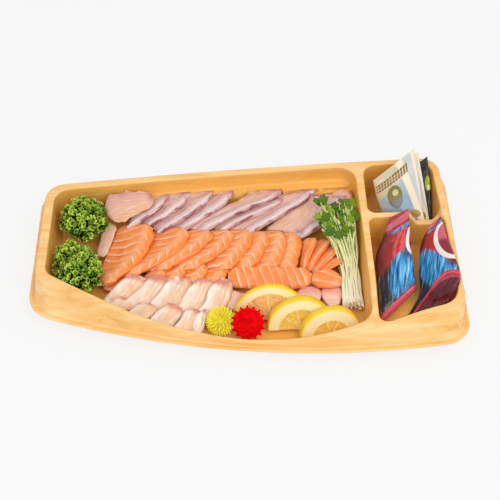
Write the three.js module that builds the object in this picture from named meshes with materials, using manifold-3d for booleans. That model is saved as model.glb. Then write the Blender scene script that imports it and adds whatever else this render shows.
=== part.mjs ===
// A sashimi platter: a thermoformed boat tray with three wells, fish slices laid in rows,
// parsley, radish sprouts, lemon, two flower garnishes, condiment packets and sauce pouches.
// Units are millimetres, +Z is up and +X runs along the tray. The origin is on the table,
// under the middle of the tray.
import * as THREE from "three";
import { mergeVertices } from "three/addons/utils/BufferGeometryUtils.js";
import Module from "manifold-3d";

const wasm = await Module();
wasm.setup();

// ---- driving dimensions -------------------------------------------------------------------
const SHEET = 1.2; // thickness of the formed tray sheet
const FLOOR = SHEET; // upper face of the well floors, which stand on the table
const CREST = 35; // height of the rim
const SHEER = 18; // how far the rim dips at the bow
const SHEER_X = 22; // where along the tray the dip is deepest
const LIP = 12; // height of the flat outer lip
const LIP_WIDTH = 5;
const DRAFT = 0.12; // lean of the well walls, mm per mm of height
const LEDGE_HIGH = 21; // upper step behind the fish
const LEDGE_LOW = 17; // lower step behind the fish
const CLEAR = 0.35; // gap kept between touching pieces
const REST = FLOOR + CLEAR; // lowest point of anything that lies on a well floor

const group = new THREE.Group();

// ---- small helpers ------------------------------------------------------------------------
const lerp = (a, b, u) => a + (b - a) * u;
const clamp = (v, low, high) => Math.min(high, Math.max(low, v));
const smooth = (u) => clamp(u, 0, 1) ** 2 * (3 - 2 * clamp(u, 0, 1));
const degrees = (v) => (v * Math.PI) / 180;

// A repeatable random number between 0 and 1 for each seed.
function chance(seed) {
  const v = Math.sin(seed * 127.1 + 311.7) * 43758.5453;
  return v - Math.floor(v);
}

// The curve through three points (t, value) with t evenly spaced from first to last.
function throughThree([first, middle, last], u) {
  const quadratic = 2 * (first + last - 2 * middle);
  return first + u * (last - first - quadratic) + u * u * quadratic;
}

// A closed solid through rings of points, fanned shut at both ends.
function loft(rings) {
  const count = rings[0].length;
  const positions = rings.flat(2);
  const index = [];
  for (let r = 0; r + 1 < rings.length; r++) {
    for (let i = 0; i < count; i++) {
      const a = r * count + i;
      const b = r * count + ((i + 1) % count);
      index.push(a, b, b + count, a, b + count, a + count);
    }
  }
  for (const [ring, flip] of [[0, true], [rings.length - 1, false]]) {
    const centre = positions.length / 3;
    for (let k = 0; k < 3; k++) {
      positions.push(rings[ring].reduce((sum, p) => sum + p[k], 0) / count);
    }
    for (let i = 0; i < count; i++) {
      const a = ring * count + i;
      const b = ring * count + ((i + 1) % count);
      index.push(...(flip ? [b, a, centre] : [a, b, centre]));
    }
  }
  return outward(geometryFrom(positions, index));
}

function geometryFrom(positions, index) {
  const geometry = new THREE.BufferGeometry();
  geometry.setAttribute("position", new THREE.Float32BufferAttribute(positions, 3));
  geometry.setIndex(index);
  return geometry;
}

// Turns a closed surface right side out.
function outward(geometry) {
  const p = geometry.attributes.position;
  const index = geometry.index.array;
  let volume = 0;
  const [a, b, c] = [new THREE.Vector3(), new THREE.Vector3(), new THREE.Vector3()];
  for (let i = 0; i < index.length; i += 3) {
    a.fromBufferAttribute(p, index[i]);
    b.fromBufferAttribute(p, index[i + 1]);
    c.fromBufferAttribute(p, index[i + 2]);
    volume += a.dot(b.cross(c));
  }
  if (volume < 0) {
    for (let i = 0; i < index.length; i += 3) {
      [index[i], index[i + 1]] = [index[i + 1], index[i]];
    }
  }
  return geometry;
}

function solidOf(geometry) {
  const bare = geometry.clone();
  bare.deleteAttribute("normal");
  bare.deleteAttribute("uv");
  const merged = mergeVertices(bare, 1e-4);
  return new wasm.Manifold(new wasm.Mesh({
    numProp: 3,
    vertProperties: new Float32Array(merged.attributes.position.array),
    triVerts: new Uint32Array(merged.index.array),
  }));
}

function geometryOf(solid) {
  const mesh = solid.getMesh();
  return geometryFrom(Array.from(mesh.vertProperties), Array.from(mesh.triVerts));
}

// The largest body of a cut, without the scraps.
function largest(solid) {
  return solid.decompose().reduce((best, part) => (part.volume() > best.volume() ? part : best));
}

function add(name, geometry, material) {
  const mesh = new THREE.Mesh(geometry, material);
  mesh.name = name;
  group.add(mesh);
  return mesh;
}

function finish(color, roughness) {
  return new THREE.MeshStandardMaterial({ color, roughness, metalness: 0 });
}

const FINISH = {
  tray: finish("#eeb86a", 0.42),
  parsley: finish("#2f5a1e", 0.65),
  sprouts: finish("#a8c274", 0.5),
  salmon: finish("#ef8a55", 0.35),
  flounder: finish("#efe3d6", 0.35),
  mullet: finish("#cdb2ae", 0.35),
  belly: finish("#e3aaa2", 0.35),
  lemon: finish("#f0cf4a", 0.45),
  yellowFlower: finish("#f0d92e", 0.55),
  redFlower: finish("#d3141f", 0.5),
  packet: finish("#dcdcd6", 0.4),
  darkPacket: finish("#20241f", 0.35),
  pouch: finish("#7c1522", 0.3),
};

// ---- tray ---------------------------------------------------------------------------------

// A closed outline through corners { x, y, r }, anticlockwise, each turned with its radius.
function roundedOutline(corners, turnSteps) {
  const points = [];
  corners.forEach((corner, i) => {
    if (!corner.r) {
      points.push([corner.x, corner.y]);
      return;
    }
    const before = corners[(i + corners.length - 1) % corners.length];
    const after = corners[(i + 1) % corners.length];
    const at = new THREE.Vector2(corner.x, corner.y);
    const arriving = at.clone().sub(new THREE.Vector2(before.x, before.y)).normalize();
    const leaving = new THREE.Vector2(after.x, after.y).sub(at).normalize();
    const turn = Math.acos(clamp(arriving.dot(leaving), -1, 1));
    const start = at.clone().addScaledVector(arriving, -corner.r * Math.tan(turn / 2));
    const centre = start.clone().addScaledVector(new THREE.Vector2(-arriving.y, arriving.x), corner.r);
    const spoke = start.clone().sub(centre);
    for (let k = 0; k <= turnSteps; k++) {
      const p = spoke.clone().rotateAround(new THREE.Vector2(), (turn * k) / turnSteps).add(centre);
      points.push([p.x, p.y]);
    }
  });
  return points;
}

// The tray's own plan form: straight ends, a bowed front and a slanting, slightly bowed back.
// out moves every side outwards, which also opens the corners.
function boatOutline(plan, out = 0) {
  const { left, right, rightBack, frontLeft, frontRight, bow, backLeft, backRight, camber, radii } = plan;
  const bowSteps = 8;
  const backSteps = 3;
  const [x0, x1] = [left - out, right + out];
  const corners = [];
  for (let k = 0; k <= bowSteps; k++) {
    const u = k / bowSteps;
    const y = lerp(frontLeft, frontRight, u) - bow * 4 * u * (1 - u) - out;
    const r = k === 0 ? radii[0] : k === bowSteps ? radii[1] : 0;
    corners.push({ x: lerp(x0, x1, u), y, r: r && Math.max(1, r + out) });
  }
  for (let k = 0; k <= backSteps; k++) {
    const u = k / backSteps;
    const y = lerp(backRight, backLeft, u) + camber * 4 * u * (1 - u) + out;
    const r = k === 0 ? radii[2] : k === backSteps ? radii[3] : 0;
    corners.push({ x: lerp(rightBack + out, x0, u), y, r: r && Math.max(1, r + out) });
  }
  return roundedOutline(corners, 4);
}

const LIP_PLAN = {
  left: -181, right: 181.7, rightBack: 175, frontLeft: -62, frontRight: -90, bow: 24,
  backLeft: 73, backRight: 103.5, camber: 3, radii: [27, 23, 24, 22],
};
const CREST_PLAN = {
  left: -173, right: 176, rightBack: 166, frontLeft: -44, frontRight: -72, bow: 36,
  backLeft: 59, backRight: 93, camber: 3, radii: [17, 20, 15, 16],
};
const MAIN_PLAN = {
  left: -166, right: 101, rightBack: 93.5, frontLeft: -37, frontRight: -79, bow: 31,
  backLeft: 53.5, backRight: 82.5, camber: 1.5, radii: [11, 15, 15, 14],
};
const BACK_WELL = [
  { x: 102.5, y: 28, r: 7 },
  { x: 165, y: 30.5, r: 7 },
  { x: 160.5, y: 88, r: 13 },
  { x: 101, y: 83.5, r: 12 },
];
const FRONT_WELL = [
  { x: 106, y: -87, r: 8 },
  { x: 171, y: -66, r: 18 },
  { x: 166.5, y: 25, r: 7 },
  { x: 102.5, y: 22.5, r: 7 },
];

// Height of the rim and of the walls between the wells, which follow its dip at the bow.
function crestHeight(x, y) {
  const half = x < SHEER_X ? 190 : 130;
  const along = clamp(1 - ((x - SHEER_X) / half) ** 2, 0, 1) ** 2;
  return CREST - SHEER * along * smooth((-40 - y) / 35);
}

// Everything below the tray's upper face, before the wells; down lowers and thins it.
function trayMound(down) {
  const edge = boatOutline(LIP_PLAN, down ? 5 : 0);
  const lipInner = boatOutline(LIP_PLAN, -LIP_WIDTH - down);
  const shoulder = boatOutline(CREST_PLAN, 1 - down);
  const crest = boatOutline(CREST_PLAN, -down);
  const centre = [0, -10];
  const cap = (share) => crest.map(([x, y]) => {
    const at = [lerp(centre[0], x, share), lerp(centre[1], y, share)];
    return [...at, crestHeight(...at) - down];
  });
  const flat = (outline, z) => outline.map(([x, y]) => [x, y, z]);
  return loft([
    flat(edge, down ? -20 : -10),
    flat(edge, LIP - down),
    flat(lipInner, LIP + 0.4 - down),
    shoulder.map(([x, y]) => [x, y, crestHeight(x, y) - 1.4 - down]),
    cap(1),
    cap(0.92),
    cap(0.6),
  ]);
}

const OVER = 9; // how far a cut reaches above the rim

// The space of a well whose outline at the rim is outlineAt(0), down to its floor.
function wellSpace(outlineAt, floor, grow) {
  const depth = CREST - floor;
  const fillet = 2.5;
  const ring = (out, z) => outlineAt(out + grow).map(([x, y]) => [x, y, z]);
  return solidOf(loft([
    ring(1, CREST + OVER),
    ring(0, CREST),
    ring(-DRAFT * (depth - fillet), floor + fillet - grow),
    ring(-DRAFT * depth - fillet * 0.7, floor - grow),
  ]));
}

// The lower levels of the main well, each between two x and reaching back to a slanting line.
const LEVELS = [
  { floor: LEDGE_LOW, x: [-2, 93], back: [63.5, 72] },
  { floor: FLOOR, x: [-190, -113], back: [150, 150] },
  { floor: FLOOR, x: [-190, -2], back: [41, 63.5] },
  { floor: FLOOR, x: [-190, 92], back: [36.5, 68] },
  { floor: FLOOR, x: [-190, 140], back: [23, 56] },
];
const FAR_FRONT = -160; // in front of everything the levels cut

// The main well: the upper ledge everywhere, and the lower levels in front of their lines.
function mainSpace(grow) {
  const whole = (floor) => wellSpace((out) => boatOutline(MAIN_PLAN, out), floor, grow);
  return LEVELS.reduce((space, { floor, x, back }) => {
    const ring = (z) => {
      const out = grow + DRAFT * (z - floor);
      return [
        [x[0] - out, FAR_FRONT, z], [x[1] + out, FAR_FRONT, z],
        [x[1] + out, back[1] + out, z], [x[0] - out, back[0] + out, z],
      ];
    };
    const reach = solidOf(loft([ring(floor - 5), ring(CREST + OVER + 3)]));
    return space.add(whole(floor).intersect(reach));
  }, whole(LEDGE_HIGH));
}

function sideSpace(corners, grow) {
  const mean = (axis) => corners.reduce((sum, corner) => sum + corner[axis], 0) / corners.length;
  const middle = { x: mean("x"), y: mean("y") };
  const outlineAt = (out) => roundedOutline(corners.map(({ x, y, r }) => ({
    x: x + Math.sign(x - middle.x) * out,
    y: y + Math.sign(y - middle.y) * out,
    r: Math.max(1, r + out),
  })), 4);
  return wellSpace(outlineAt, FLOOR, grow);
}

// The low pass in the wall between the two side wells, where the packets lean over.
const PASS = { from: 136.5, to: 163.5, foot: 8, shoulder: 6, bottom: 24, front: 18, back: 34 };

function passSpace(down) {
  const { from, to, foot, shoulder, bottom, front, back } = PASS;
  const top = CREST + OVER;
  const outline = [
    [from, top],
    [from, CREST + 1],
    [from + foot, bottom],
    [to - shoulder, bottom],
    [to, CREST - shoulder],
    [to, top],
  ];
  const at = (y) => outline.map(([x, z]) => [x, y, z - down]);
  return solidOf(loft([at(front), at(back)]));
}

function trayGeometry() {
  const upper = solidOf(trayMound(0))
    .subtract(mainSpace(0))
    .subtract(sideSpace(BACK_WELL, 0))
    .subtract(sideSpace(FRONT_WELL, 0))
    .subtract(passSpace(0));
  const under = solidOf(trayMound(SHEET))
    .subtract(mainSpace(SHEET))
    .subtract(sideSpace(BACK_WELL, SHEET))
    .subtract(sideSpace(FRONT_WELL, SHEET))
    .subtract(passSpace(SHEET));
  return geometryOf(largest(upper.subtract(under)));
}

add("boat_tray", trayGeometry(), FINISH.tray);

// ---- fish slices laid like shingles ---------------------------------------------------------

// Each row is a stack of parallel leaning slices. A slice's free edge is its ridge; the rest of
// it slopes down sideways and goes under its neighbour. A slice is cut across along the lines
// y + skew * x = constant, which all slices of a row share, so that the stack never crosses.
// A ridge is given by its x at its back end, middle and front end, and the y of those ends.
function lineOf(ridge, end, skew) {
  return end === "back" ? ridge.back + skew * ridge.x[0] : ridge.front + skew * ridge.x[2];
}

function ridgeX(ridge, line, { lean, skew }) {
  const [back, front] = [lineOf(ridge, "back", skew), lineOf(ridge, "front", skew)];
  const u = clamp((line - back) / (front - back), 0, 1);
  return throughThree(ridge.x, u) + (line - lerp(back, front, u)) * lean;
}

const END_WIDTH = 0.78; // how much of its width a slice keeps at its ends
const END_DROP = 0.35; // how much of its thickness its top loses there

function sliceRow(row) {
  const { name, material, side, slope, thick, bevel, skew, round, height, ridges, step } = row;
  ridges.forEach((ridge, j) => {
    const below = ridges[j + 1];
    const widths = ridge.widths ?? [row.width, row.width, row.width];
    const [back, front] = [lineOf(ridge, "back", skew), lineOf(ridge, "front", skew)];
    const cuts = Math.max(3, Math.round((ridge.back - ridge.front) / step));
    const sections = [];
    for (let k = 0; k <= cuts; k++) {
      const line = lerp(front, back, k / cuts);
      const x = ridgeX(ridge, line, row);
      const pitch = below ? side * (ridgeX(below, line, row) - x) : Infinity;
      const t = Math.min(thick, pitch * slope - CLEAR - 0.25);
      const end = k === 0 || k === cuts;
      const w = throughThree(widths, 1 - k / cuts) * (end ? END_WIDTH : 1);
      const drop = end ? t * END_DROP : 0;
      const rounded = (a) => round * (1 - ((2 * a + w) / (w + 2 * bevel)) ** 2) * (2 * k / cuts - 1);
      const profile = [
        [-w, -t * 0.5],
        [-w + 3, -drop],
        [-bevel * 0.3, 0.5 - drop],
        [bevel * 0.5, -t * 0.3 - drop * 0.6],
        [bevel * 0.95, -t * 0.8],
        [bevel * 0.6, -t],
        [-w + 1.5, -t],
      ];
      sections.push(profile.map(([a, h]) => {
        const own = line + rounded(a);
        const across = ridgeX(ridge, own, row) + side * a;
        const at = [across, own - skew * across];
        return [...at, height(...at) + a * slope + h];
      }));
    }
    add(`${name}_${j + 1}`, loft(sections), material);
  });
}

// Rows whose ridges face right: the left slice lies over the right one.
const SALMON_BACK = {
  name: "salmon_back", material: FINISH.salmon, side: 1, slope: 0.34, thick: 5.6, bevel: 6.5,
  lean: 0.3, skew: 0.3, round: 4, width: 30, step: 8, height: (x, y) => 18.6 + 0.05 * y,
  ridges: [
    { x: [-86, -93, -113], back: 26, front: -26, widths: [28, 27, 10] },
    { x: [-54, -68, -93], back: 20, front: -20, widths: [34, 34, 24] },
    { x: [-34, -48, -68], back: 19, front: -13 },
    { x: [-16, -27, -45], back: 17.5, front: -12 },
    { x: [0, -7, -17], back: 18, front: -12.5 },
    { x: [15, 9, 0], back: 17, front: -13 },
    { x: [28, 26, 19], back: 16, front: -14 },
    { x: [40.5, 38.5, 34.5], back: 16, front: -15, widths: [24, 24, 24] },
  ],
};
sliceRow(SALMON_BACK);

const SALMON_FRONT = {
  name: "salmon_front", material: FINISH.salmon, side: 1, slope: 0.32, thick: 5, bevel: 5,
  lean: 0.25, skew: 0.15, round: 2, width: 21, step: 7, height: (x, y) => 14.8 + 0.12 * (y + 16),
  ridges: [
    { x: [-73, -77, -82], back: -21, front: -34, widths: [14, 14, 14] },
    { x: [-56, -60, -65], back: -15.5, front: -34 },
    { x: [-38, -42, -47], back: -15, front: -34 },
    { x: [-21, -24, -29], back: -15.5, front: -34.5 },
  ],
};
sliceRow(SALMON_FRONT);

const MULLET = {
  name: "mullet", material: FINISH.mullet, side: 1, slope: 0.27, thick: 4.4, bevel: 4.5,
  lean: 1.4, skew: 0, round: 2, width: 22, step: 8, height: (x, y) => 18 + 0.2 * (y - 30),
  ridges: [
    { x: [-73, -84, -95], back: 53, front: 34, widths: [15, 15, 12] },
    { x: [-54, -66, -80], back: 55.5, front: 34, widths: [25, 24, 19] },
    { x: [-35, -49, -68], back: 56.5, front: 30, widths: [25, 24, 20] },
    { x: [-16, -32, -51], back: 57.5, front: 30 },
    { x: [25, -8, -32], back: 58, front: 29, widths: [40, 30, 26] },
    { x: [27, 3, -18], back: 51, front: 28, widths: [20, 22, 21] },
    { x: [55, 31, 8], back: 58.5, front: 27.5, widths: [38, 36, 33] },
    { x: [82, 72, 54], back: 52, front: 25, widths: [45, 48, 45] },
  ],
};
sliceRow(MULLET);

// Rows whose ridges face left: the right slice lies over the left one, so they run right to left.
const FLOUNDER_BACK = {
  name: "flounder_back", material: FINISH.flounder, side: -1, slope: 0.22, thick: 3.6, bevel: 4,
  lean: 0.5, skew: 0.1, round: 1.5, width: 21, step: 7,
  height: (x, y) => 16.8 + 0.33 * (y + 36) + 0.02 * (x + 70),
  ridges: [
    { x: [-28, -32, -41], back: -39, front: -60, widths: [14, 15, 14] },
    { x: [-46, -51, -60], back: -37.5, front: -57 },
    { x: [-65, -71, -79], back: -35.5, front: -53.5 },
    { x: [-84, -90, -99], back: -34.5, front: -50.5 },
    { x: [-103, -110, -118], back: -32.5, front: -46.5 },
  ],
};
sliceRow(FLOUNDER_BACK);

const FLOUNDER_FRONT = {
  name: "flounder_front", material: FINISH.flounder, side: -1, slope: 0.2, thick: 3.4, bevel: 3.5,
  lean: 0.5, skew: 0.1, round: 1.5, width: 17, step: 6,
  height: (x, y) => 12.3 + 0.26 * (y + 51.5 + 0.19 * (x + 112)),
  ridges: [
    { x: [-40, -41, -43], back: -65, front: -77.5, widths: [6, 6, 6] },
    { x: [-52, -55, -60], back: -61.5, front: -77 },
    { x: [-70, -75, -81], back: -58, front: -72 },
    { x: [-90, -95, -100], back: -55, front: -65 },
    { x: [-111, -114, -117], back: -51.6, front: -56.5 },
  ],
};
sliceRow(FLOUNDER_FRONT);

// ---- single slices ----------------------------------------------------------------------------

// A slab swept along a spine of three points, with its width at each, leaning by roll degrees:
// its left side, seen along the spine, is the high one.
function slab({ spine, width, thick, roll = 0, steps = 5, turn = 0 }) {
  const curve = new THREE.QuadraticBezierCurve3(...bezierThrough(spine));
  const sections = [];
  for (let k = 0; k <= steps; k++) {
    const u = k / steps;
    const end = k === 0 || k === steps;
    const at = curve.getPoint(u);
    const along = curve.getTangent(u);
    const across = new THREE.Vector3(-along.y, along.x, 0).normalize();
    const tilt = degrees(roll + turn * (u - 0.5));
    const half = (throughThree(width, u) / 2) * (end ? 0.62 : 1);
    const t = thick * (end ? 0.6 : 1);
    const profile = [[-1, 0], [-0.72, 0.5], [0, 0.56], [0.72, 0.5], [1, 0], [0.72, -0.5], [-0.72, -0.5]];
    sections.push(profile.map(([a, h]) => {
      const side = a * half * Math.cos(tilt) - h * t * Math.sin(tilt);
      const up = a * half * Math.sin(tilt) + h * t * Math.cos(tilt);
      return [at.x + across.x * side, at.y + across.y * side, at.z + up];
    }));
  }
  return loft(sections);
}

function bezierThrough([first, middle, last]) {
  const control = middle.map((m, k) => 2 * m - (first[k] + last[k]) / 2);
  return [first, control, last].map((p) => new THREE.Vector3(...p));
}

const SINGLE_SLICES = {
  salmon_tongue_1: {
    spine: [[-120, -29, 5.5], [-107, -28.5, 7.5], [-94, -27, 9.2]], width: [7, 8, 6], thick: 4, roll: 10,
  },
  salmon_long: {
    spine: [[-15, -24, 12.2], [18, -25, 12.6], [52, -26, 12]], width: [15, 18, 15],
    thick: 5.6, roll: 22, steps: 8,
  },
  salmon_end: {
    spine: [[54, -27.5, 13.5], [66, -28, 14], [78, -28.5, 12]], width: [12, 15, 12], thick: 5, roll: 14,
  },
};
for (const [name, form] of Object.entries(SINGLE_SLICES)) {
  add(name, slab(form), FINISH.salmon);
}

const BELLY_SLICES = {
  mullet_flat_left: {
    spine: [[-120, 42, 22], [-105, 46, 24.5], [-86, 50, 26.5]], width: [17, 22, 15], thick: 2.6, roll: 16,
  },
  mullet_edge_left: {
    spine: [[-124.5, 2, 11], [-121, 17, 12.5], [-118, 31, 13.5]], width: [7, 9, 8], thick: 2.8, roll: 0,
  },
  mullet_flat_right: {
    spine: [[74.5, 59, 19], [81, 60, 19.8], [89.5, 61, 20]], width: [8, 11, 9],
    thick: 3, roll: 6, steps: 4,
  },
  belly_by_lemon_1: {
    spine: [[-9, -36.5, 7.4], [-10, -45, 5.8], [-11.5, -53.5, 4]], width: [17, 16, 11], thick: 2.8, roll: -16,
  },
  belly_by_lemon_2: {
    spine: [[42, -43, 7.4], [51.5, -41.5, 7.8], [60.5, -42.5, 7.6]], width: [12, 16, 13], thick: 3.4, roll: 4,
  },
  belly_by_lemon_3: {
    spine: [[62.5, -42.5, 7.6], [70, -41.5, 8], [78, -43, 7.2]], width: [13, 17, 13], thick: 3.4, roll: 4,
  },
};
for (const [name, form] of Object.entries(BELLY_SLICES)) {
  add(name, slab(form), name.startsWith("belly") ? FINISH.belly : FINISH.mullet);
}

// The last salmon slices spread like a fan round one point.
const FAN = { x: 40, y: -38, inner: 25, outer: [55.5, 58, 55.5, 49], from: 75.5, spread: 11.5 };
FAN.outer.forEach((outer, k) => {
  const angle = degrees(FAN.from - k * FAN.spread);
  const at = (radius, z) => [FAN.x + radius * Math.cos(angle), FAN.y + radius * Math.sin(angle), z];
  const form = {
    spine: [at(FAN.inner, 8.5), at((FAN.inner + outer) / 2, 13.5), at(outer, 14.5)],
    width: [5.2, 9.8, 15.5],
    thick: 3.1,
    roll: -28,
  };
  add(`salmon_fan_${k + 1}`, slab(form), FINISH.salmon);
});

// ---- lemon ------------------------------------------------------------------------------------

// A half slice standing on its cut edge and leaning back.
function lemonHalf(name, { radius, thick, x, y, lean, yaw }) {
  const arc = new THREE.Shape();
  arc.moveTo(radius, 0);
  arc.absarc(0, 0, radius, 0, Math.PI, false);
  arc.closePath();
  const geometry = new THREE.ExtrudeGeometry(arc, {
    depth: thick - 1.6,
    bevelEnabled: true,
    bevelThickness: 0.8,
    bevelSize: 0.8,
    bevelOffset: -0.8,
    bevelSegments: 1,
    curveSegments: 14,
  });
  const mesh = add(name, geometry, FINISH.lemon);
  mesh.rotation.set(degrees(lean), 0, degrees(yaw), "ZXY");
  mesh.position.set(x, y, REST + 0.3);
  return mesh;
}

lemonHalf("lemon_back", { radius: 32, thick: 5.5, x: 20, y: -59, lean: 66, yaw: -2 });
lemonHalf("lemon_middle", { radius: 28, thick: 8, x: 43.5, y: -66.5, lean: 68, yaw: 4 });
lemonHalf("lemon_right", { radius: 26, thick: 7.5, x: 67, y: -74, lean: 70, yaw: 11 });

// ---- flower garnishes ---------------------------------------------------------------------------

// A domed flower head with a toothed rim, facing up and forwards.
function flowerHead(name, { radius, depth, teeth, bite, x, y, z, lean, yaw }, material) {
  const around = teeth * 2;
  const rings = [[0.28, -1], [0.75, -0.55], [1, -0.1], [0.93, 0.2], [0.66, 0.42], [0.3, 0.5]];
  const sections = rings.map(([share, level]) => {
    const ring = [];
    for (let i = 0; i < around; i++) {
      const tooth = i % 2 ? 1 - bite * share : 1;
      const angle = (i / around) * 2 * Math.PI;
      const r = radius * share * tooth;
      ring.push([r * Math.cos(angle), r * Math.sin(angle), depth * level + (i % 2 ? -0.3 : 0.3) * share]);
    }
    return ring;
  });
  const mesh = add(name, loft(sections), material);
  mesh.rotation.set(degrees(lean), 0, degrees(yaw), "ZXY");
  mesh.position.set(x, y, z);
}

flowerHead("flower_red", {
  radius: 14.5, depth: 8, teeth: 15, bite: 0.16, x: 0.5, y: -74, z: 14, lean: 38, yaw: 4,
}, FINISH.redFlower);
flowerHead("flower_yellow", {
  radius: 10.5, depth: 7, teeth: 14, bite: 0.1, x: -23, y: -70, z: 12.5, lean: 30, yaw: -30,
}, FINISH.yellowFlower);

// ---- parsley --------------------------------------------------------------------------------------

// A bushy sprig: a lumpy core with curled tufts fused on where they show.
function lump(centre, size, detail, seed, bump, moved = (point) => point) {
  const ball = mergeVertices(stripped(new THREE.IcosahedronGeometry(1, detail)), 1e-4);
  const p = ball.attributes.position;
  for (let i = 0; i < p.count; i++) {
    const [x, y, z] = [p.getX(i), p.getY(i), p.getZ(i)];
    const broad = Math.sin(5.1 * x + seed) * Math.sin(4.7 * y + seed * 2);
    const wave = broad + Math.sin(6.3 * z + 3.1 * x + seed * 3);
    const r = 1 + bump * wave;
    p.setXYZ(i, ...moved([x, y, z].map((v, axis) => centre[axis] + size[axis] * v * r)));
  }
  return ball;
}

function stripped(geometry) {
  geometry.deleteAttribute("normal");
  geometry.deleteAttribute("uv");
  return geometry;
}

function parsley(name, { centre, size, slant, tufts, seed }) {
  const slanted = ([x, y, z]) => [x, y + slant * (x - centre[0]), z];
  let bush = solidOf(lump(centre, size.map((v) => v * 0.86), 3, seed, 0.07, slanted));
  for (let k = 0; k < tufts; k++) {
    const turn = k * 2.4 + seed;
    const rise = 0.15 + 0.8 * ((k + 0.5) / tufts);
    const reach = Math.sqrt(1 - rise * rise) * 0.8;
    const at = [
      centre[0] + size[0] * reach * Math.cos(turn),
      centre[1] + size[1] * reach * Math.sin(turn),
      centre[2] + size[2] * rise * 0.76,
    ];
    const s = 5.2 + 1.8 * chance(seed * 10 + k);
    bush = bush.add(solidOf(lump(at, [s, s, s * 0.8], 1, seed + k, 0.12, slanted)));
  }
  add(name, geometryOf(largest(bush)), FINISH.parsley);
}

parsley("parsley_upper", {
  centre: [-140, 30.5, 19], size: [21, 21.5, 17.5], slant: 0, tufts: 12, seed: 1,
});
parsley("parsley_lower", {
  centre: [-142, -20, 17], size: [21, 26.5, 15.5], slant: -0.5, tufts: 13, seed: 4,
});

// ---- radish sprouts ---------------------------------------------------------------------------------

// A bundle of stems lying along the wall, leaves at the back. The core is the packed bundle.
function sproutCore() {
  const stations = [
    { y: -51, x: 89, half: 5.2, low: REST, high: 7 },
    { y: -36, x: 87, half: 7.5, low: REST, high: 11 },
    { y: -14, x: 85.8, half: 6.5, low: REST, high: 15 },
    { y: 6, x: 85.3, half: 6.2, low: REST, high: 19 },
    { y: 18, x: 81.5, half: 10.5, low: 17.5, high: 24 },
    { y: 34, x: 79.5, half: 12.5, low: 21, high: 28 },
    { y: 46, x: 82, half: 8, low: 23, high: 27.5 },
  ];
  const sides = 7;
  return solidOf(loft(stations.map(({ y, x, half, low, high }) => {
    const ring = [];
    for (let i = 0; i < sides; i++) {
      const angle = (i / sides) * 2 * Math.PI;
      const mid = (low + high) / 2;
      ring.push([x + half * Math.cos(angle), y, mid + ((high - low) / 2) * Math.sin(angle)]);
    }
    return ring;
  })));
}

function stem(from, middle, to, radius) {
  const path = new THREE.QuadraticBezierCurve3(...bezierThrough([from, middle, to]));
  const section = new THREE.Shape();
  for (let i = 0; i < 4; i++) {
    const angle = (i / 4) * 2 * Math.PI;
    section[i ? "lineTo" : "moveTo"](radius * Math.cos(angle), radius * Math.sin(angle));
  }
  section.closePath();
  return solidOf(new THREE.ExtrudeGeometry(section, {
    steps: 4, bevelEnabled: false, extrudePath: path, curveSegments: 1,
  }));
}

// A thin, slightly folded seed leaf with matching faces above and below.
function leaf(at, length, width, heading, seed) {
  const rim = 8;
  const thick = 1;
  const face = (up) => {
    const ring = [];
    for (let i = 0; i < rim; i++) {
      const angle = (i / rim) * 2 * Math.PI;
      const along = (length / 2) * Math.cos(angle);
      const across = (width / 2) * Math.sin(angle);
      const fold = Math.abs(across) * 0.3 + 0.6 * Math.sin(angle * 2 + seed);
      ring.push([
        at[0] + along * Math.cos(heading) - across * Math.sin(heading),
        at[1] + along * Math.sin(heading) + across * Math.cos(heading),
        at[2] + fold + up * thick,
      ]);
    }
    return ring;
  };
  return solidOf(loft([face(-0.5), face(0.5)]));
}

function sprouts() {
  let bundle = sproutCore();
  const stems = 9;
  for (let k = 0; k < stems; k++) {
    const spread = k / (stems - 1);
    const drift = chance(k + 40) - 0.5;
    const from = [lerp(81.5, 93, spread), -46 - 7 * chance(k + 5), 5.5 + 3 * chance(k + 9)];
    const middle = [lerp(81, 90, (spread * 7) % 1), -6 + 10 * drift, 13.6 + 1.4 * chance(k + 13)];
    const to = [lerp(66, 89, spread), lerp(12, 46, chance(k + 21)), 23.4 + 3 * chance(k + 17)];
    bundle = bundle.add(stem(from, middle, to, 0.95));
    const heading = degrees(70 + 120 * (chance(k + 31) - 0.3));
    bundle = bundle.add(leaf([to[0], to[1], to[2] + 0.4], 12, 8.5, heading, k));
  }
  add("sprouts", geometryOf(largest(bundle)), FINISH.sprouts);
}

sprouts();

// ---- packets and pouches --------------------------------------------------------------------------------

// A filled packet between a left and a right edge curve, given from foot to head, with flat
// sealed ends. Its surface swells towards the middle.
function pillow(name, { left, right, swell, seal = 0.12, steps = 7, across = 4 }, material) {
  const leftCurve = new THREE.CatmullRomCurve3(left.map((p) => new THREE.Vector3(...p)));
  const rightCurve = new THREE.CatmullRomCurve3(right.map((p) => new THREE.Vector3(...p)));
  const edge = 0.7;
  const sections = [];
  for (let k = 0; k <= steps; k++) {
    const u = k / steps;
    const a = leftCurve.getPoint(u);
    const b = rightCurve.getPoint(u);
    const along = leftCurve.getTangent(u).add(rightCurve.getTangent(u)).normalize();
    const up = new THREE.Vector3().subVectors(b, a).cross(along).normalize();
    const filled = Math.sqrt(clamp(Math.min(u, 1 - u) / seal - 0.6, 0, 1));
    const above = [];
    const beneath = [];
    for (let i = 0; i <= across; i++) {
      const v = i / across;
      const at = a.clone().lerp(b, v);
      const lift = edge / 2 + (swell / 2) * filled * Math.sqrt(4 * v * (1 - v));
      above.push(at.clone().addScaledVector(up, lift).toArray());
      beneath.unshift(at.clone().addScaledVector(up, -lift).toArray());
    }
    sections.push([...above, ...beneath]);
  }
  add(name, loft(sections), material);
}

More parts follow.
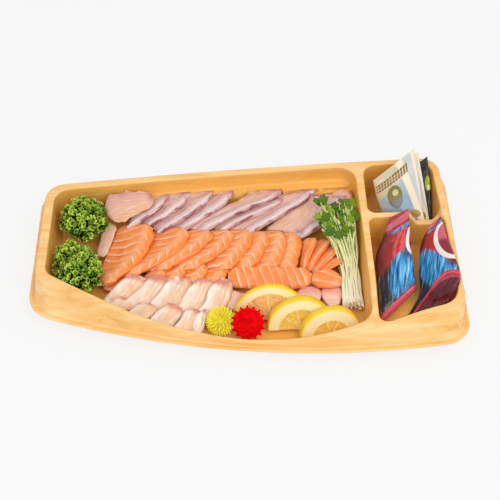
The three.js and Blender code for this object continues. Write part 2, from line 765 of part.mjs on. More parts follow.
pillow("packet_front", {
  left: [[119, 45, 9], [112.5, 54, 24], [108.5, 62, 38.5]],
  right: [[152, 32.5, 20], [149, 60.5, 34.5], [145, 90, 49]],
  swell: 3.2, steps: 6,
}, FINISH.packet);
pillow("packet_behind", {
  left: [[122, 46, 4.5], [117, 56, 19.5], [113, 65, 34]],
  right: [[157.5, 34.5, 15], [153.5, 62.5, 30], [149, 91, 44.5]],
  swell: 3, steps: 6,
}, FINISH.packet);
pillow("packet_dark", {
  left: [[133, 47.5, 3.2], [131, 60, 14], [129, 72, 26]],
  right: [[161, 40, 8], [160, 63.5, 24.5], [157.5, 88.5, 41.5]],
  swell: 2.2, steps: 6,
}, FINISH.darkPacket);

pillow("pouch_left", {
  left: [[111, -67, 5], [108.5, -38, 10], [107.5, -9, 18], [114.5, 7, 28], [120, 19, 38.5]],
  right: [[140, -37, 11], [139.5, -22, 15], [138, -4, 22], [137, 12, 32], [136, 26, 42]],
  swell: 7, steps: 9,
}, FINISH.pouch);
pillow("pouch_right", {
  left: [[130, -63, 4.5], [142.5, -41, 8], [144, -18, 14], [146, 0, 23], [152.5, 13, 33.5]],
  right: [[163.5, -60, 24], [172, -49, 40.4], [170, -24, 40.4], [165.5, 0, 38.5], [163, 19, 40]],
  swell: 7, steps: 9,
}, FINISH.pouch);

export default group;
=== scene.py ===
"""A sashimi plate: a boat-shaped wood-grain tray with sliced fish, garnish, packets and pouches."""

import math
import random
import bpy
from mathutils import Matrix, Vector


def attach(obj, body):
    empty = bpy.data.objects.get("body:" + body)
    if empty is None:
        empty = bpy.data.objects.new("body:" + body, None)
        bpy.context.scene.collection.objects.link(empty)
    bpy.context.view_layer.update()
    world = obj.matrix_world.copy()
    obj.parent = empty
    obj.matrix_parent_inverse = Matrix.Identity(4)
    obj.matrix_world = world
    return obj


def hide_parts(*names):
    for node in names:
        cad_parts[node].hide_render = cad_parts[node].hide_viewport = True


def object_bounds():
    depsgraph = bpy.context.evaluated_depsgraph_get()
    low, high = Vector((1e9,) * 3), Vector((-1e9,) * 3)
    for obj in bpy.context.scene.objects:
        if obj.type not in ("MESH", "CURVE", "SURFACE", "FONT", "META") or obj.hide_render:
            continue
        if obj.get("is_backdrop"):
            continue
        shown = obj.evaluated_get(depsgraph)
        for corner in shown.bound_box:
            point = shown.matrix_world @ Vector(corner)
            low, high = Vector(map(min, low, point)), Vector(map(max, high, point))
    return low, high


bl_info = {
    "name": "Sashimi Plate",
    "version": (1, 0, 0),
    "blender": (4, 5, 0),
    "location": "View3D > Sidebar > Sashimi",
    "description": "Builds a takeaway tray of sliced raw fish with its garnish and packs",
    "category": "Add Mesh",
}

from functools import partial
from types import SimpleNamespace as Form

import bmesh
import bpy
import numpy as np
from bpy.props import FloatProperty, FloatVectorProperty, IntProperty, PointerProperty
from mathutils import Matrix, Vector, noise
from mathutils.geometry import delaunay_2d_cdt

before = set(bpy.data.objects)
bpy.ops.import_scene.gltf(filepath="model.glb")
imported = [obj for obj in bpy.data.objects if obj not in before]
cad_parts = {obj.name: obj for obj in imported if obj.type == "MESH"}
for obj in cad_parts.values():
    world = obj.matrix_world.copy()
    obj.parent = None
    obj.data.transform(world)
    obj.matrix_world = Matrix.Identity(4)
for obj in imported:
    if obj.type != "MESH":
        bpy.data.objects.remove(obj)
CAD_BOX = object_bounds()
MM = 0.001

# ---- numbers shared with the solid model, in millimetres ----
SHEET = 1.2
FLOOR = SHEET
CREST = 35.0
SHEER = 18.0
SHEER_X = 22.0
LIP = 12.0
DRAFT = 0.12
LEDGE_HIGH = 21.0
LEDGE_LOW = 17.0
CLEAR = 0.35
REST = FLOOR + CLEAR

# ---- the camera: its sensor's width in millimetres, and what it frames in pixels ----
SENSOR = 36
PICTURE_PIXELS = 500
FOCAL_PIXELS = 1285
PIXELS_PER_MM = 1.19


# ---- small helpers ----
def linear(colour):
    """A colour as linear red, green, blue and alpha; a text is an sRGB hex value."""
    if not isinstance(colour, str):
        return tuple(colour)
    parts = [int(colour[i:i + 2], 16) / 255 for i in (1, 3, 5)]
    return tuple(c / 12.92 if c <= 0.04045 else ((c + 0.055) / 1.055) ** 2.4 for c in parts) + (1.0,)


def colour_property(name, colour, description):
    return FloatVectorProperty(name=name, description=description, subtype="COLOR", size=4,
                               min=0, max=1, default=linear(colour))


def lerp(a, b, u):
    return a + (b - a) * u


def smooth(u):
    u = np.clip(u, 0, 1)
    return u * u * (3 - 2 * u)


def through_three(values, u):
    """The curve through three values evenly spaced from u = 0 to u = 1."""
    first, middle, last = values
    quadratic = 2 * (first + last - 2 * middle)
    return first + u * (last - first - quadratic) + u * u * quadratic


def ripple(points, size, seed=0.0):
    """Smooth noise from -1 to 1 at each point of a plan; size is a bump's width in millimetres."""
    shift = Vector((seed * 7.3, seed * 3.1, seed * 5.7))
    return np.array([noise.noise(Vector((x / size, y / size, 0)) + shift) for x, y in points])


def spline(a, b, c, d, t):
    """The smooth curve from b to c, for t from 0 to 1, with a before them and d after."""
    squared, cubed = 2 * a - 5 * b + 4 * c - d, 3 * b - a - 3 * c + d
    return 0.5 * (2 * b + (c - a) * t + squared * t ** 2 + cubed * t ** 3)


def curve_through(points, u):
    """A point on the smooth curve through the points, for u from 0 to 1."""
    p = [np.array(point, dtype=float) for point in points]
    p = [2 * p[0] - p[1], *p, 2 * p[-1] - p[-2]]
    place = u * (len(points) - 1)
    k = min(int(place), len(points) - 2)
    return spline(*p[k:k + 4], place - k)


def grid_faces(rows, columns, closed=False):
    """Quads of a grid of points; closed joins the last column to the first."""
    sides = [(c, (c + 1) % columns) for c in range(columns if closed else columns - 1)]
    return [(near + a, near + b, near + columns + b, near + columns + a)
            for near in range(0, (rows - 1) * columns, columns) for a, b in sides]


def moved(faces, start):
    """Faces whose points come after start others."""
    return [tuple(start + i for i in face) for face in faces]


def two_sided(rows, columns):
    """Faces of a closed skin: a grid of points, a second one beneath it, and the wall between them."""
    size = rows * columns
    top = grid_faces(rows, columns)
    right, left = range(columns - 1, size, columns), range(0, size, columns)
    border = [*range(columns), *right[1:], *range(size - 2, size - columns - 1, -1), *left[-2:0:-1]]
    wall = [(b, a, a + size, b + size) for a, b in zip(border, border[1:] + border[:1])]
    return top + [tuple(size + i for i in face[::-1]) for face in top] + wall


def mesh_from(name, points, faces=(), edges=(), uv=None, **values):
    """A mesh from points in millimetres; uv and values give each point its pair, number or vector."""
    mesh = bpy.data.meshes.new(name)
    mesh.from_pydata([tuple(float(v) * MM for v in p) for p in points], edges, faces)
    if uv is not None:
        corners = np.empty(len(mesh.loops), dtype=np.int32)
        mesh.loops.foreach_get("vertex_index", corners)
        pairs = np.asarray(uv, dtype=np.float32)[corners].ravel()
        mesh.uv_layers.new(name="UVMap").data.foreach_set("uv", pairs)
    for key, numbers in values.items():
        numbers = np.array(numbers, dtype=np.float32)
        kind, field = ("FLOAT", "value") if numbers.ndim == 1 else ("FLOAT_VECTOR", "vector")
        mesh.attributes.new(key, kind, "POINT").data.foreach_set(field, numbers.ravel())
    mesh.validate()
    mesh.shade_smooth()
    return mesh


def turn_outward(mesh, weld=0.0, sheet=False):
    """Points every face outwards, or up on an open sheet, once points within weld metres are merged."""
    work = bmesh.new()
    work.from_mesh(mesh)
    if weld:
        bmesh.ops.remove_doubles(work, verts=work.verts, dist=weld)
    bmesh.ops.recalc_face_normals(work, faces=work.faces)
    upwards = sum(f.normal.z * f.calc_area() for f in work.faces)
    if (upwards if sheet else work.calc_volume(signed=True)) < 0:
        bmesh.ops.reverse_faces(work, faces=work.faces)
    work.to_mesh(mesh)
    work.free()
    return mesh


def added(name, data):
    """A new object, linked to the scene."""
    made = bpy.data.objects.new(name, data)
    bpy.context.scene.collection.objects.link(made)
    return made


def piece(name, mesh, materials, node, slot):
    """A finished piece that rides on the one body and takes the place of a node of the solid model."""
    made = added(name, mesh)
    for material in materials:
        mesh.materials.append(material)
    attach(made, "root")
    if node:
        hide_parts(node)


def baked(source):
    """The evaluated mesh of an object with modifiers, after which the object goes."""
    bpy.context.view_layer.update()
    mesh = bpy.data.meshes.new_from_object(source.evaluated_get(bpy.context.evaluated_depsgraph_get()))
    mesh.name = source.name
    mesh.materials.clear()
    bpy.data.objects.remove(source)
    mesh.shade_smooth()
    return mesh


def add_node(tree, kind, inputs=(), out=0, stops=(), **settings):
    """Adds a node with its settings, its inputs as values or links and its colour stops, and gives one
    of its outputs. Inputs are in order or by name."""
    kinds = [prefix + kind for prefix in ("ShaderNode", "GeometryNode", "FunctionNode", "")]
    made = tree.nodes.new(next(name for name in kinds if hasattr(bpy.types, name)))
    for name, value in settings.items():
        setattr(made, name, value)
    for key, value in inputs.items() if isinstance(inputs, dict) else enumerate(inputs):
        if isinstance(value, bpy.types.NodeSocket):
            tree.links.new(value, made.inputs[key])
        else:
            made.inputs[key].default_value = linear(value) if str(value).startswith("#") else value
    for extra in stops[2:]:
        made.color_ramp.elements.new(0.5)
    for k, (place, colour) in enumerate(stops):
        made.color_ramp.elements[k].position = place
        made.color_ramp.elements[k].color = linear(colour)
    return made.outputs[out] if made.outputs else None


def new_material(name):
    """An empty material, and the function that adds a node to it."""
    material = bpy.data.materials.new(name)
    material.use_nodes = True
    material.node_tree.nodes.clear()
    return material, partial(add_node, material.node_tree)


def mapped_material(name):
    """Starts a material: its nodes, the places across and along a piece by its UV, and its own place."""
    material, node = new_material(name)
    across = node("SeparateXYZ", (node("UVMap", uv_map="UVMap"),))
    return material, node, across, across.node.outputs[1], node("TexCoord", out="Object")


def finished(material, node, colour, look, *relief):
    """Closes a material with its colour and the look of its surface; relief is a height, how strongly it
    shows, and its depth in metres."""
    if relief:
        look = {**look, "Normal": node("Bump", dict(zip(("Height", "Strength", "Distance"), relief)))}
    node("OutputMaterial", {"Surface": node("BsdfPrincipled", {"Base Color": colour, **look})})
    return material


def layered(node, below, *fields):
    """Colours laid over one another, each as (how much of it there is, colour) or (mask, mask, colour)."""
    for *masks, above in fields:
        amount = masks[0] if len(masks) == 1 else node("Math", masks, operation="MULTIPLY")
        below = node("Mix", {"Factor": amount, 6: below, 7: above}, out=2, data_type="RGBA")
    return below


def geometry_tree(name, inputs):
    """A Geometry Nodes tree that takes in a geometry and named inputs (kind, default): the function that
    adds a node to it, its inputs' sockets, and their identifiers."""
    tree = bpy.data.node_groups.new(name, "GeometryNodeTree")
    identifiers = {}
    for label, (kind, default) in {"Geometry": ("Geometry", None), **inputs}.items():
        socket = tree.interface.new_socket(label, in_out="INPUT", socket_type=f"NodeSocket{kind}")
        if default is not None:
            socket.default_value = default
        identifiers[label] = socket.identifier
    tree.interface.new_socket("Geometry", in_out="OUTPUT", socket_type="NodeSocketGeometry")
    node = partial(add_node, tree)
    return node, node("NodeGroupInput").node.outputs, identifiers


def close_tree(node, geometry, material):
    """Ends a tree: what it made becomes plain mesh with one material."""
    whole = node("RealizeInstances", (geometry,))
    node("NodeGroupOutput", (node("SetMaterial", {"Geometry": whole, "Material": material}),))
    return whole.id_data


def grown(base_mesh, tree, identifiers, **values):
    """The mesh that a Geometry Nodes tree grows on a base mesh."""
    holder = added(base_mesh.name, base_mesh)
    modifier = holder.modifiers.new(tree.name, "NODES")
    modifier.node_group = tree
    for label, value in values.items():
        modifier[identifiers[label]] = value
    return baked(holder)


# ---- settings ----
class TraySettings(bpy.types.PropertyGroup):
    """Sizes and colours of the tray."""

    sheet: FloatProperty(name="Sheet", description="Thickness of the formed sheet", default=SHEET * MM,
                         min=0.0002, unit="LENGTH")
    outline_step: FloatProperty(name="Outline step", description="Spacing of the points round each outline",
                                default=2.0 * MM, min=0.001, unit="LENGTH")
    light: colour_property("Light grain", "#f7c681", "Colour of the wood grain's light part")
    dark: colour_property("Dark grain", "#e0a050", "Colour of the wood grain's dark lines")
    # the wells' colour is painted shade and bounced light, more amber than the rim
    well: colour_property("Wells", "#fcba54", "Colour of the wood grain inside the wells")


class FishSettings(bpy.types.PropertyGroup):
    """Detail and colours of the sliced fish."""

    lengthwise: IntProperty(name="Cuts lengthwise", description="Sections along each slice", default=52,
                            min=8)
    salmon: colour_property("Salmon", "#fa8f42", "Colour of the salmon's flesh")
    salmon_fat: colour_property("Salmon fat", "#fedec4", "Colour of the salmon's fat lines")
    salmon_deep: colour_property("Salmon between the lines", "#ee6c2a", "Colour of the salmon's deepest flesh")
    flounder: colour_property("Flounder", "#ebcbad", "Colour of the white fish")
    mullet: colour_property("Mullet", "#d6b6b1", "Colour of the mullet's pale bands")
    bloodline: colour_property("Bloodline", "#8a2734", "Colour of the mullet's dark edge")


class GarnishSettings(bpy.types.PropertyGroup):
    """Numbers and colours of the garnish."""

    frill_spacing: FloatProperty(name="Frill spacing", description="Distance between curled parsley leaflets",
                                 default=1.55 * MM, min=0.0005, unit="LENGTH")
    stems: IntProperty(name="Sprout stems", description="Stems in the bundle of sprouts", default=88, min=5)
    petals: IntProperty(name="Petals", description="Petals of the yellow flower", default=120, min=6)
    lemon: colour_property("Lemon peel", "#f5cf2c", "Colour of the lemon's peel")
    parsley: colour_property("Parsley", "#3a7012", "Colour of the parsley's lit leaves")
    sprout_leaf: colour_property("Sprout leaf", "#64841a", "Colour of the sprouts' leaves")
    red_flower: colour_property("Red flower", "#e60206", "Colour of the red flower")
    yellow_flower: colour_property("Yellow flower", "#fdf148", "Colour of the yellow flower")


class PackSettings(bpy.types.PropertyGroup):
    """Colours of the packets and pouches."""

    packet: colour_property("Packet film", "#cdbe9a", "Colour of the pale packets")
    gold: colour_property("Gold print", "#835a1a", "Colour of the gold print")
    dark_packet: colour_property("Dark packet", "#171614", "Colour of the dark packet")
    pouch: colour_property("Pouch film", "#a51e1c", "Colour of the sauce pouches")
    pouch_blue: colour_property("Pouch blue", "#2e97d6", "Colour of the blue field on the pouches")


class StageSettings(bpy.types.PropertyGroup):
    """The floor, the camera and the lights."""

    floor: colour_property("Floor", "#f6f6f6", "Colour of the pale floor")
    elevation: FloatProperty(name="Elevation", description="Angle of the camera above the floor",
                             default=math.radians(50), subtype="ANGLE")
    distance: FloatProperty(name="Distance", description="From the camera to the point it looks at",
                            default=FOCAL_PIXELS / PIXELS_PER_MM * MM, unit="LENGTH")
    focal: FloatProperty(name="Focal length", description="Focal length in millimetres on a 36 mm sensor",
                         default=FOCAL_PIXELS * SENSOR / PICTURE_PIXELS, min=10)
    key: FloatProperty(name="Key light", description="Power of the large soft light", default=7.0,
                       unit="POWER")
    fill: FloatProperty(name="Fill light", description="Power of the second soft light", default=4.0,
                        unit="POWER")
    sky: FloatProperty(name="Sky", description="Strength of the light from all round", default=0.73, min=0)
    glow: FloatProperty(name="Floor glow", description="How much the backdrop glows", default=0.885, min=0)


# ---- tray ----
LIP_PLAN = Form(left=-181, right=181.7, right_back=175, front_left=-62, front_right=-90, bow=24,
                back_left=73, back_right=103.5, camber=3, radii=(27, 23, 24, 22))
CREST_PLAN = Form(left=-173, right=176, right_back=166, front_left=-44, front_right=-72, bow=36,
                  back_left=59, back_right=93, camber=3, radii=(17, 20, 15, 16))
MAIN_PLAN = Form(left=-166, right=101, right_back=93.5, front_left=-37, front_right=-79, bow=31,
                 back_left=53.5, back_right=82.5, camber=1.5, radii=(11, 15, 15, 14))
BACK_WELL = ((102.5, 28, 7), (165, 30.5, 7), (160.5, 88, 13), (101, 83.5, 12))
FRONT_WELL = ((106, -87, 8), (171, -66, 18), (166.5, 25, 7), (102.5, 22.5, 7))
# The levels that the main well reaches, in front of a slanting line between two x, and its tabs' x.
LEVELS = (
    (LEDGE_LOW, (-2, 93), (63.5, 72), (10.6, 32, 47.7, 64)),
    (FLOOR, (-190, -113), (150, 150), ()),
    (FLOOR, (-190, -2), (41, 63.5), ()),
    (FLOOR, (-190, 92), (36.5, 68), (22, 40, 55.6)),
    (FLOOR, (-190, 140), (23, 56), ()),
)
# The low pass in the wall between the side wells: x and height along it.
PASS = ((136.5, 144.5, 157.5, 163.5, 165.5), (36, 24, 24, 30, 36))
# Fillets as (sideways, down) steps from the edge of the rim into a well, and (sideways, up) at its foot.
RIM_FILLET = ((1.3, 0.0), (0.8, 0.1), (0.4, 0.35), (0.13, 0.8), (0.0, 1.5))
FOOT_FILLET = ((0.0, 2.6), (0.35, 1.5), (0.95, 0.65), (1.8, 0.15), (2.6, 0.0))
LEAST_WALL = 3.5
# The skirt: (outwards, height) steps round the lip, then (share of the way up, sag), then over the crest.
LIP_STEPS = ((0.0, LIP - 0.9), (-0.15, LIP - 0.35), (-0.6, LIP), (-3.0, LIP), (-3.4, LIP - 0.45),
             (-3.9, LIP - 0.45), (-4.3, LIP + 0.1), (-5.0, LIP + 0.5))
SKIRT_STEPS = ((0.08, 0.5), (0.2, 0.45), (0.4, 0.25), (0.7, 0.0), (0.92, 0.0))
CREST_STEPS = ((0.9, 1.2), (0.65, 0.65), (0.3, 0.25), (-0.1, 0.06), (-0.6, 0.0))


def rounded_outline(corners, turn_steps=12):
    """A closed outline through corners (x, y, radius), anticlockwise."""
    points = []
    for i, (x, y, r) in enumerate(corners):
        if not r:
            points.append((x, y))
            continue
        at = np.array((x, y), dtype=float)
        arriving, leaving = at - corners[i - 1][:2], corners[(i + 1) % len(corners)][:2] - at
        arriving, leaving = [way / np.linalg.norm(way) for way in (arriving, leaving)]
        turn = math.acos(max(-1, min(1, float(arriving @ leaving))))
        start = at - arriving * r * math.tan(turn / 2)
        centre = start + np.array((-arriving[1], arriving[0])) * r
        spoke = start - centre
        for k in range(turn_steps + 1):
            c, s = math.cos(turn * k / turn_steps), math.sin(turn * k / turn_steps)
            points.append((centre[0] + spoke[0] * c - spoke[1] * s, centre[1] + spoke[0] * s + spoke[1] * c))
    return np.array(points)


def boat_outline(plan, out):
    """The tray's plan form, moved outwards by out: its bowed front, then its back."""
    left, right, width = plan.left - out, plan.right + out, plan.right - plan.left
    # the bow's own points start where the rounding of its corners ends
    clear = [plan.radii[i] * 0.9 + 3 for i in (0, 1)]
    corners = []
    front = (36, left, right, plan.front_left, plan.front_right, -plan.bow, -out, plan.radii[:2])
    back = (10, plan.right_back + out, left, plan.back_right, plan.back_left, plan.camber, out, plan.radii[2:])
    for steps, x0, x1, y0, y1, bend, away, radii in (front, back):
        for k in range(steps + 1):
            u = k / steps
            if away == -out and bend < 0 and 0 < k < steps and not clear[0] < u * width < width - clear[1]:
                continue
            y = lerp(y0, y1, u) + bend * 4 * u * (1 - u) + away
            corners.append((lerp(x0, x1, u), y, 0 if 0 < k < steps else max(1, radii[k > 0] + out)))
    return rounded_outline(corners)


def well_outline(corners, out):
    middle = np.mean([(x, y) for x, y, _ in corners], axis=0)
    return rounded_outline([(x + math.copysign(out, x - middle[0]), y + math.copysign(out, y - middle[1]),
                             max(1, r + out)) for x, y, r in corners])


def densified(outline_at, step, parts=None):
    """Points no more than step apart round an outline, their outward steps, and how its sides were cut."""
    base, outward = outline_at(0), outline_at(1) - outline_at(0)
    sides = np.linalg.norm(np.roll(base, -1, axis=0) - base, axis=1)
    parts = parts or [max(1, math.ceil(side / step)) for side in sides]
    places = [(i, (i + 1) % len(base), k / count) for i, count in enumerate(parts) for k in range(count)]
    points, outs = [np.array([lerp(v[i], v[j], u) for i, j, u in places]) for v in (base, outward)]
    return points, outs, parts


def crest_height(x, y):
    """Height of the rim, with its dip at the bow and the low pass between the side wells."""
    half = np.where(x < SHEER_X, 190.0, 130.0)
    along = np.clip(1 - ((x - SHEER_X) / half) ** 2, 0, 1) ** 2
    rim = CREST - SHEER * along * smooth((-40 - y) / 35)
    inside = smooth((y - 16) / 3) * smooth((36 - y) / 3)
    return np.minimum(rim, lerp(rim, np.interp(x, *PASS), inside))


def main_level(x, y):
    """Height of the main well's bottom, with its two ledges behind the fish."""
    height = np.full(np.shape(x), LEDGE_HIGH)
    for floor, (x0, x1), (back0, back1), tabs in LEVELS:
        back = lerp(back0, back1, (x - x0) / (x1 - x0))
        for tab in tabs:
            back = back - 2.2 * smooth(1.6 - np.abs(x - tab) / 1.5)
        inside = np.minimum(np.minimum(x - x0, x1 - x), back - y)
        height = np.minimum(height, floor + np.maximum(0, -inside) / DRAFT)
    return height


def flat_level(x, y):
    return np.full(np.shape(x), FLOOR)


def inside_loop(point, loop):
    x, y = point
    x0, y0 = loop[:, 0], loop[:, 1]
    x1, y1 = np.roll(x0, -1), np.roll(y0, -1)
    with np.errstate(divide="ignore", invalid="ignore"):
        where = x0 + (y - y0) / (y1 - y0) * (x1 - x0)
    return bool(np.sum(((y0 > y) != (y1 > y)) & (x < where)) % 2)


def filled_region(outer, holes, height, lines):
    """Points and triangles between an outline and its holes, at the given height over the plan, with
    edges along the lines."""
    coordinates, edges = [], []
    for k, line in enumerate([outer, *holes, *lines]):
        start, n = len(coordinates), len(line)
        coordinates += [Vector(p) for p in line]
        edges += [(start + i, start + (i + 1) % n) for i in range(n if k <= len(holes) else n - 1)]
    found = delaunay_2d_cdt(coordinates, edges, [list(range(len(outer)))], 1, 1e-4)
    plan = np.array([tuple(p) for p in found[0]])
    keep = [tuple(triangle) for triangle in found[2]
            if not any(inside_loop(plan[list(triangle)].mean(axis=0), hole) for hole in holes)]
    return np.column_stack([plan, height(plan[:, 0], plan[:, 1])]), keep


class Sheet:
    """Collects strips and fills into one surface, to be welded at the end. Each point has its share of the
    wells' painted shade and bounced light, from 0 on the rim to 1 inside a well."""

    def __init__(self):
        self.points, self.faces, self.well_shades = [], [], []

    def fill(self, points, faces, well_shades):
        self.faces += moved(faces, len(self.points))
        self.points += [tuple(p) for p in points]
        self.well_shades += list(np.broadcast_to(well_shades, len(points)))

    def strip(self, rings, well_shades):
        n = len(rings[0])
        self.fill(np.vstack(rings), grid_faces(len(rings), n, closed=True), np.repeat(well_shades, n))


def well_strip(sheet, outline_at, level, step):
    """The wall of one well, from the rim to the foot; returns its loops at the rim and the foot."""
    base, outward, _ = densified(outline_at, step)
    rim = crest_height(*base.T)
    rings = []
    for out, down in RIM_FILLET:
        plan = base + outward * out
        rings.append(np.column_stack([plan, (rim if down else crest_height(*plan.T)) - down]))
    foot_plan = base + outward * (-DRAFT * (CREST - FLOOR) - 1.5)
    foot = np.minimum(level(*foot_plan.T), rim - LEAST_WALL)
    low = foot + FOOT_FILLET[0][1]
    for u in (0.25, 0.5, 0.75, 1.0):
        z = lerp(rim - RIM_FILLET[-1][1], low, u)
        rings.append(np.column_stack([base + outward * (-DRAFT * (CREST - z) * u)[:, None], z]))
    for inwards, up in FOOT_FILLET[1:]:
        out = -DRAFT * (CREST - low) - inwards
        rings.append(np.column_stack([base + outward * out[:, None], foot + up]))
    # the wells' painted shade fades in from the rim down the wall
    sheet.strip(rings, [0.0, 0.1, 0.3, 0.5, 0.75] + [1.0] * (len(rings) - 5))
    return rings[0][:, :2], rings[-1]


def ledge_lines():
    """Lines along the ledges' edges, at the top, the foot and just beside each."""
    lines = []
    for floor, (x0, x1), (back0, back1), _ in LEVELS:
        rise = (LEDGE_HIGH - floor) * DRAFT
        for out in (-4.4, -3.5, -2.6, -1.7, -0.8, 0.0, rise * 0.5, rise, rise + 0.8) if back0 < 100 else ():
            xs = np.arange(max(x0, -160), min(x1, 100) + 0.1, 1.5)
            lines.append([(x, lerp(back0, back1, (x - x0) / (x1 - x0)) + out) for x in xs])
    for x in (-113, -2, 92, 93):
        for out in (-2.4, -0.6, 0.0, 0.6, 1.2, 2.4):
            lines.append([(x + out, y) for y in np.arange(40, 84, 1.5)])
    return lines


def tray_surface(step):
    """The upper face of the tray as one sheet: its skirt, its three wells and the rim between them."""
    sheet = Sheet()
    lip, lip_out, parts = densified(partial(boat_outline, LIP_PLAN), step)
    crest, crest_out, _ = densified(partial(boat_outline, CREST_PLAN), step, parts)
    rim = crest_height(*crest.T)
    rings = [np.column_stack([lip + lip_out * out, np.full(len(lip), z)]) for out, z in LIP_STEPS]
    for u, sag in SKIRT_STEPS:
        plan = lerp(lip + lip_out * LIP_STEPS[-1][0], crest + crest_out * 1.0, u)
        rings.append(np.column_stack([plan, lerp(LIP + 0.5, rim - 1.8, u) - sag]))
    rings += [np.column_stack([crest + crest_out * out, rim - down]) for out, down in CREST_STEPS]
    sheet.strip(rings, [0.0] * len(rings))

    holes = []
    for outline_at, level, lines in ((partial(boat_outline, MAIN_PLAN), main_level, ledge_lines()),
                                     (partial(well_outline, BACK_WELL), flat_level, []),
                                     (partial(well_outline, FRONT_WELL), flat_level, [])):
        mouth, foot = well_strip(sheet, outline_at, level, step)
        holes.append(mouth)
        lines = [[p for p in line if inside_loop(p, foot[:, :2])] for line in lines]
        points, faces = filled_region(foot[:, :2], [], level, [line for line in lines if len(line) > 1])
        edge = {tuple(np.round(p[:2], 3)): p[2] for p in foot}
        for point in points:
            point[2] = edge.get(tuple(np.round(point[:2], 3)), point[2])
        sheet.fill(points, faces, 1.0)
    across = [[(x, lerp(25, 27.5, (x - 102) / 62) + y) for y in (-1.4, -0.7, 0.0, 0.7, 1.4)]
              for x in np.arange(134.5, 166.5, 0.9)]
    sheet.fill(*filled_region(rings[-1][:, :2], holes, crest_height, across), 0.0)
    return sheet


def pressed_polypropylene(settings):
    """Thermoformed polypropylene sheet printed with a pale timber grain: a soft sheen, with fine long lines.
    The wells are painted deeper and more amber than the rim: painted shade and bounced light inside them."""
    material, node = new_material("Timber-print polypropylene")
    own = node("TexCoord", out="Object")
    # long lines about 5 mm apart that run along the tray, and fibres about 1 mm wide
    lines = node("TexNoise", {"Vector": node("Mapping", {"Vector": own, "Scale": (9, 130, 130)}), "Scale": 1.0,
                              "Detail": 4.0, "Roughness": 0.6, "Distortion": 0.7})
    fibres = node("TexNoise", {"Vector": node("Mapping", {"Vector": own, "Scale": (30, 900, 900)}),
                               "Scale": 1.0})
    # broad change of tone over 80 mm
    cloud = node("TexNoise", {"Vector": own, "Scale": 12.0})
    grain = node("Math", (fibres, 0.22, lines), operation="MULTIPLY_ADD")
    tone = node("Math", (cloud, 0.3, grain), operation="MULTIPLY_ADD")
    outer = node("ValToRGB", (tone,), stops=((0.48, settings.dark), (0.66, "#f3bb6e"), (0.8, settings.light),
                                             (0.95, "#fbd294")))
    # inside the wells the grain is painted deeper and more amber, as shade and bounced light; depth says where
    inner = node("ValToRGB", (tone,), stops=((0.48, "#cf8a2c"), (0.66, settings.well), (0.82, "#edae52"),
                                             (0.95, "#f3bd66")))
    colour = layered(node, outer, (node("Attribute", out="Fac", attribute_name="depth"), inner))
    return finished(material, node, colour, {"Roughness": 0.4, "IOR": 1.49, "Coat Weight": 0.2,
                                             "Coat Roughness": 0.25}, grain, 0.08, 0.0002)


class MESH_OT_sashimi_tray(bpy.types.Operator):
    """Build the boat-shaped tray with its three wells"""
    bl_idname = "mesh.sashimi_tray"
    bl_label = "Tray"

    def execute(self, context):
        settings = context.scene.sashimi_tray
        sheet = tray_surface(settings.outline_step / MM)
        # depth carries each point's share of the wells' painted shade
        mesh = mesh_from("tray_top", sheet.points, sheet.faces, depth=sheet.well_shades)
        raw = added("formed_tray", turn_outward(mesh, weld=2e-5, sheet=True))
        solid = raw.modifiers.new("Sheet", "SOLIDIFY")
        solid.thickness = settings.sheet
        solid.offset = -1
        solid.use_even_offset = False
        piece("formed_tray", baked(raw), [pressed_polypropylene(settings)], "boat_tray", "tray")
        return {"FINISHED"}


# ---- slices of fish ----
def row(**values):
    """One row of the solid model: a stack of leaning slices whose free edge is the ridge. flakes are the
    spacing of its sheets of fat, how far they climb and how much its edge is scalloped; reach is how far
    its ends run on past the solid's; a ridge is its x at the back, middle and front, those ends' y, its
    own widths, and how far what lies beneath lifts its hidden edge."""
    return Form(**{**dict(flakes=(0, 0, 0), shear=0.0, wave=0.9), **values})


SALMON_BACK = row(
    name="salmon_back", side=1, slope=0.34, thick=5.6, bevel=6.5, lean=0.3, skew=0.3, round=4, width=30,
    flakes=(8.5, 9, 0.8), reach=(2, 4), tip=9, stray=2.2, height=lambda x, y: 18.6 + 0.05 * y,
    ridges=(
        ((-86, -93, -113), 26, -26, (28, 27, 10)), ((-54, -68, -93), 20, -20, (34, 34, 24)),
        ((-34, -48, -68), 19, -13), ((-16, -27, -45), 17.5, -12), ((0, -7, -17), 18, -12.5),
        ((15, 9, 0), 17, -13), ((28, 26, 19), 16, -14), ((40.5, 38.5, 34.5), 16, -15, (24, 24, 24))))
SALMON_FRONT = row(
    name="salmon_front", side=1, slope=0.32, thick=5, bevel=5, lean=0.25, skew=0.15, round=2, width=21,
    flakes=(8, 5, 0.8), reach=(3, 5), tip=7, stray=2.2, height=lambda x, y: 14.8 + 0.12 * (y + 16),
    ridges=(((-73, -77, -82), -21, -34, (14, 14, 14)), ((-56, -60, -65), -15.5, -34),
            ((-38, -42, -47), -15, -34), ((-21, -24, -29), -15.5, -34.5)))
MULLET = row(
    name="mullet", side=1, slope=0.27, thick=4.4, bevel=4.5, lean=1.4, skew=0, round=2, width=22,
    reach=(3, 2), tip=5, shear=0.7, stray=1.8, height=lambda x, y: 18 + 0.2 * (y - 30),
    ridges=(
        ((-73, -84, -95), 53, 34, (15, 15, 12)), ((-54, -66, -80), 55.5, 34, (25, 24, 19)),
        ((-35, -49, -68), 56.5, 30, (25, 24, 20)), ((-16, -32, -51), 57.5, 30),
        ((25, -8, -32), 58, 29, (40, 30, 26), 3), ((27, 3, -18), 51, 28, (20, 22, 21)),
        ((55, 31, 8), 58.5, 27.5, (38, 36, 33), 3), ((82, 72, 54), 52, 25, (45, 48, 45), 8)))
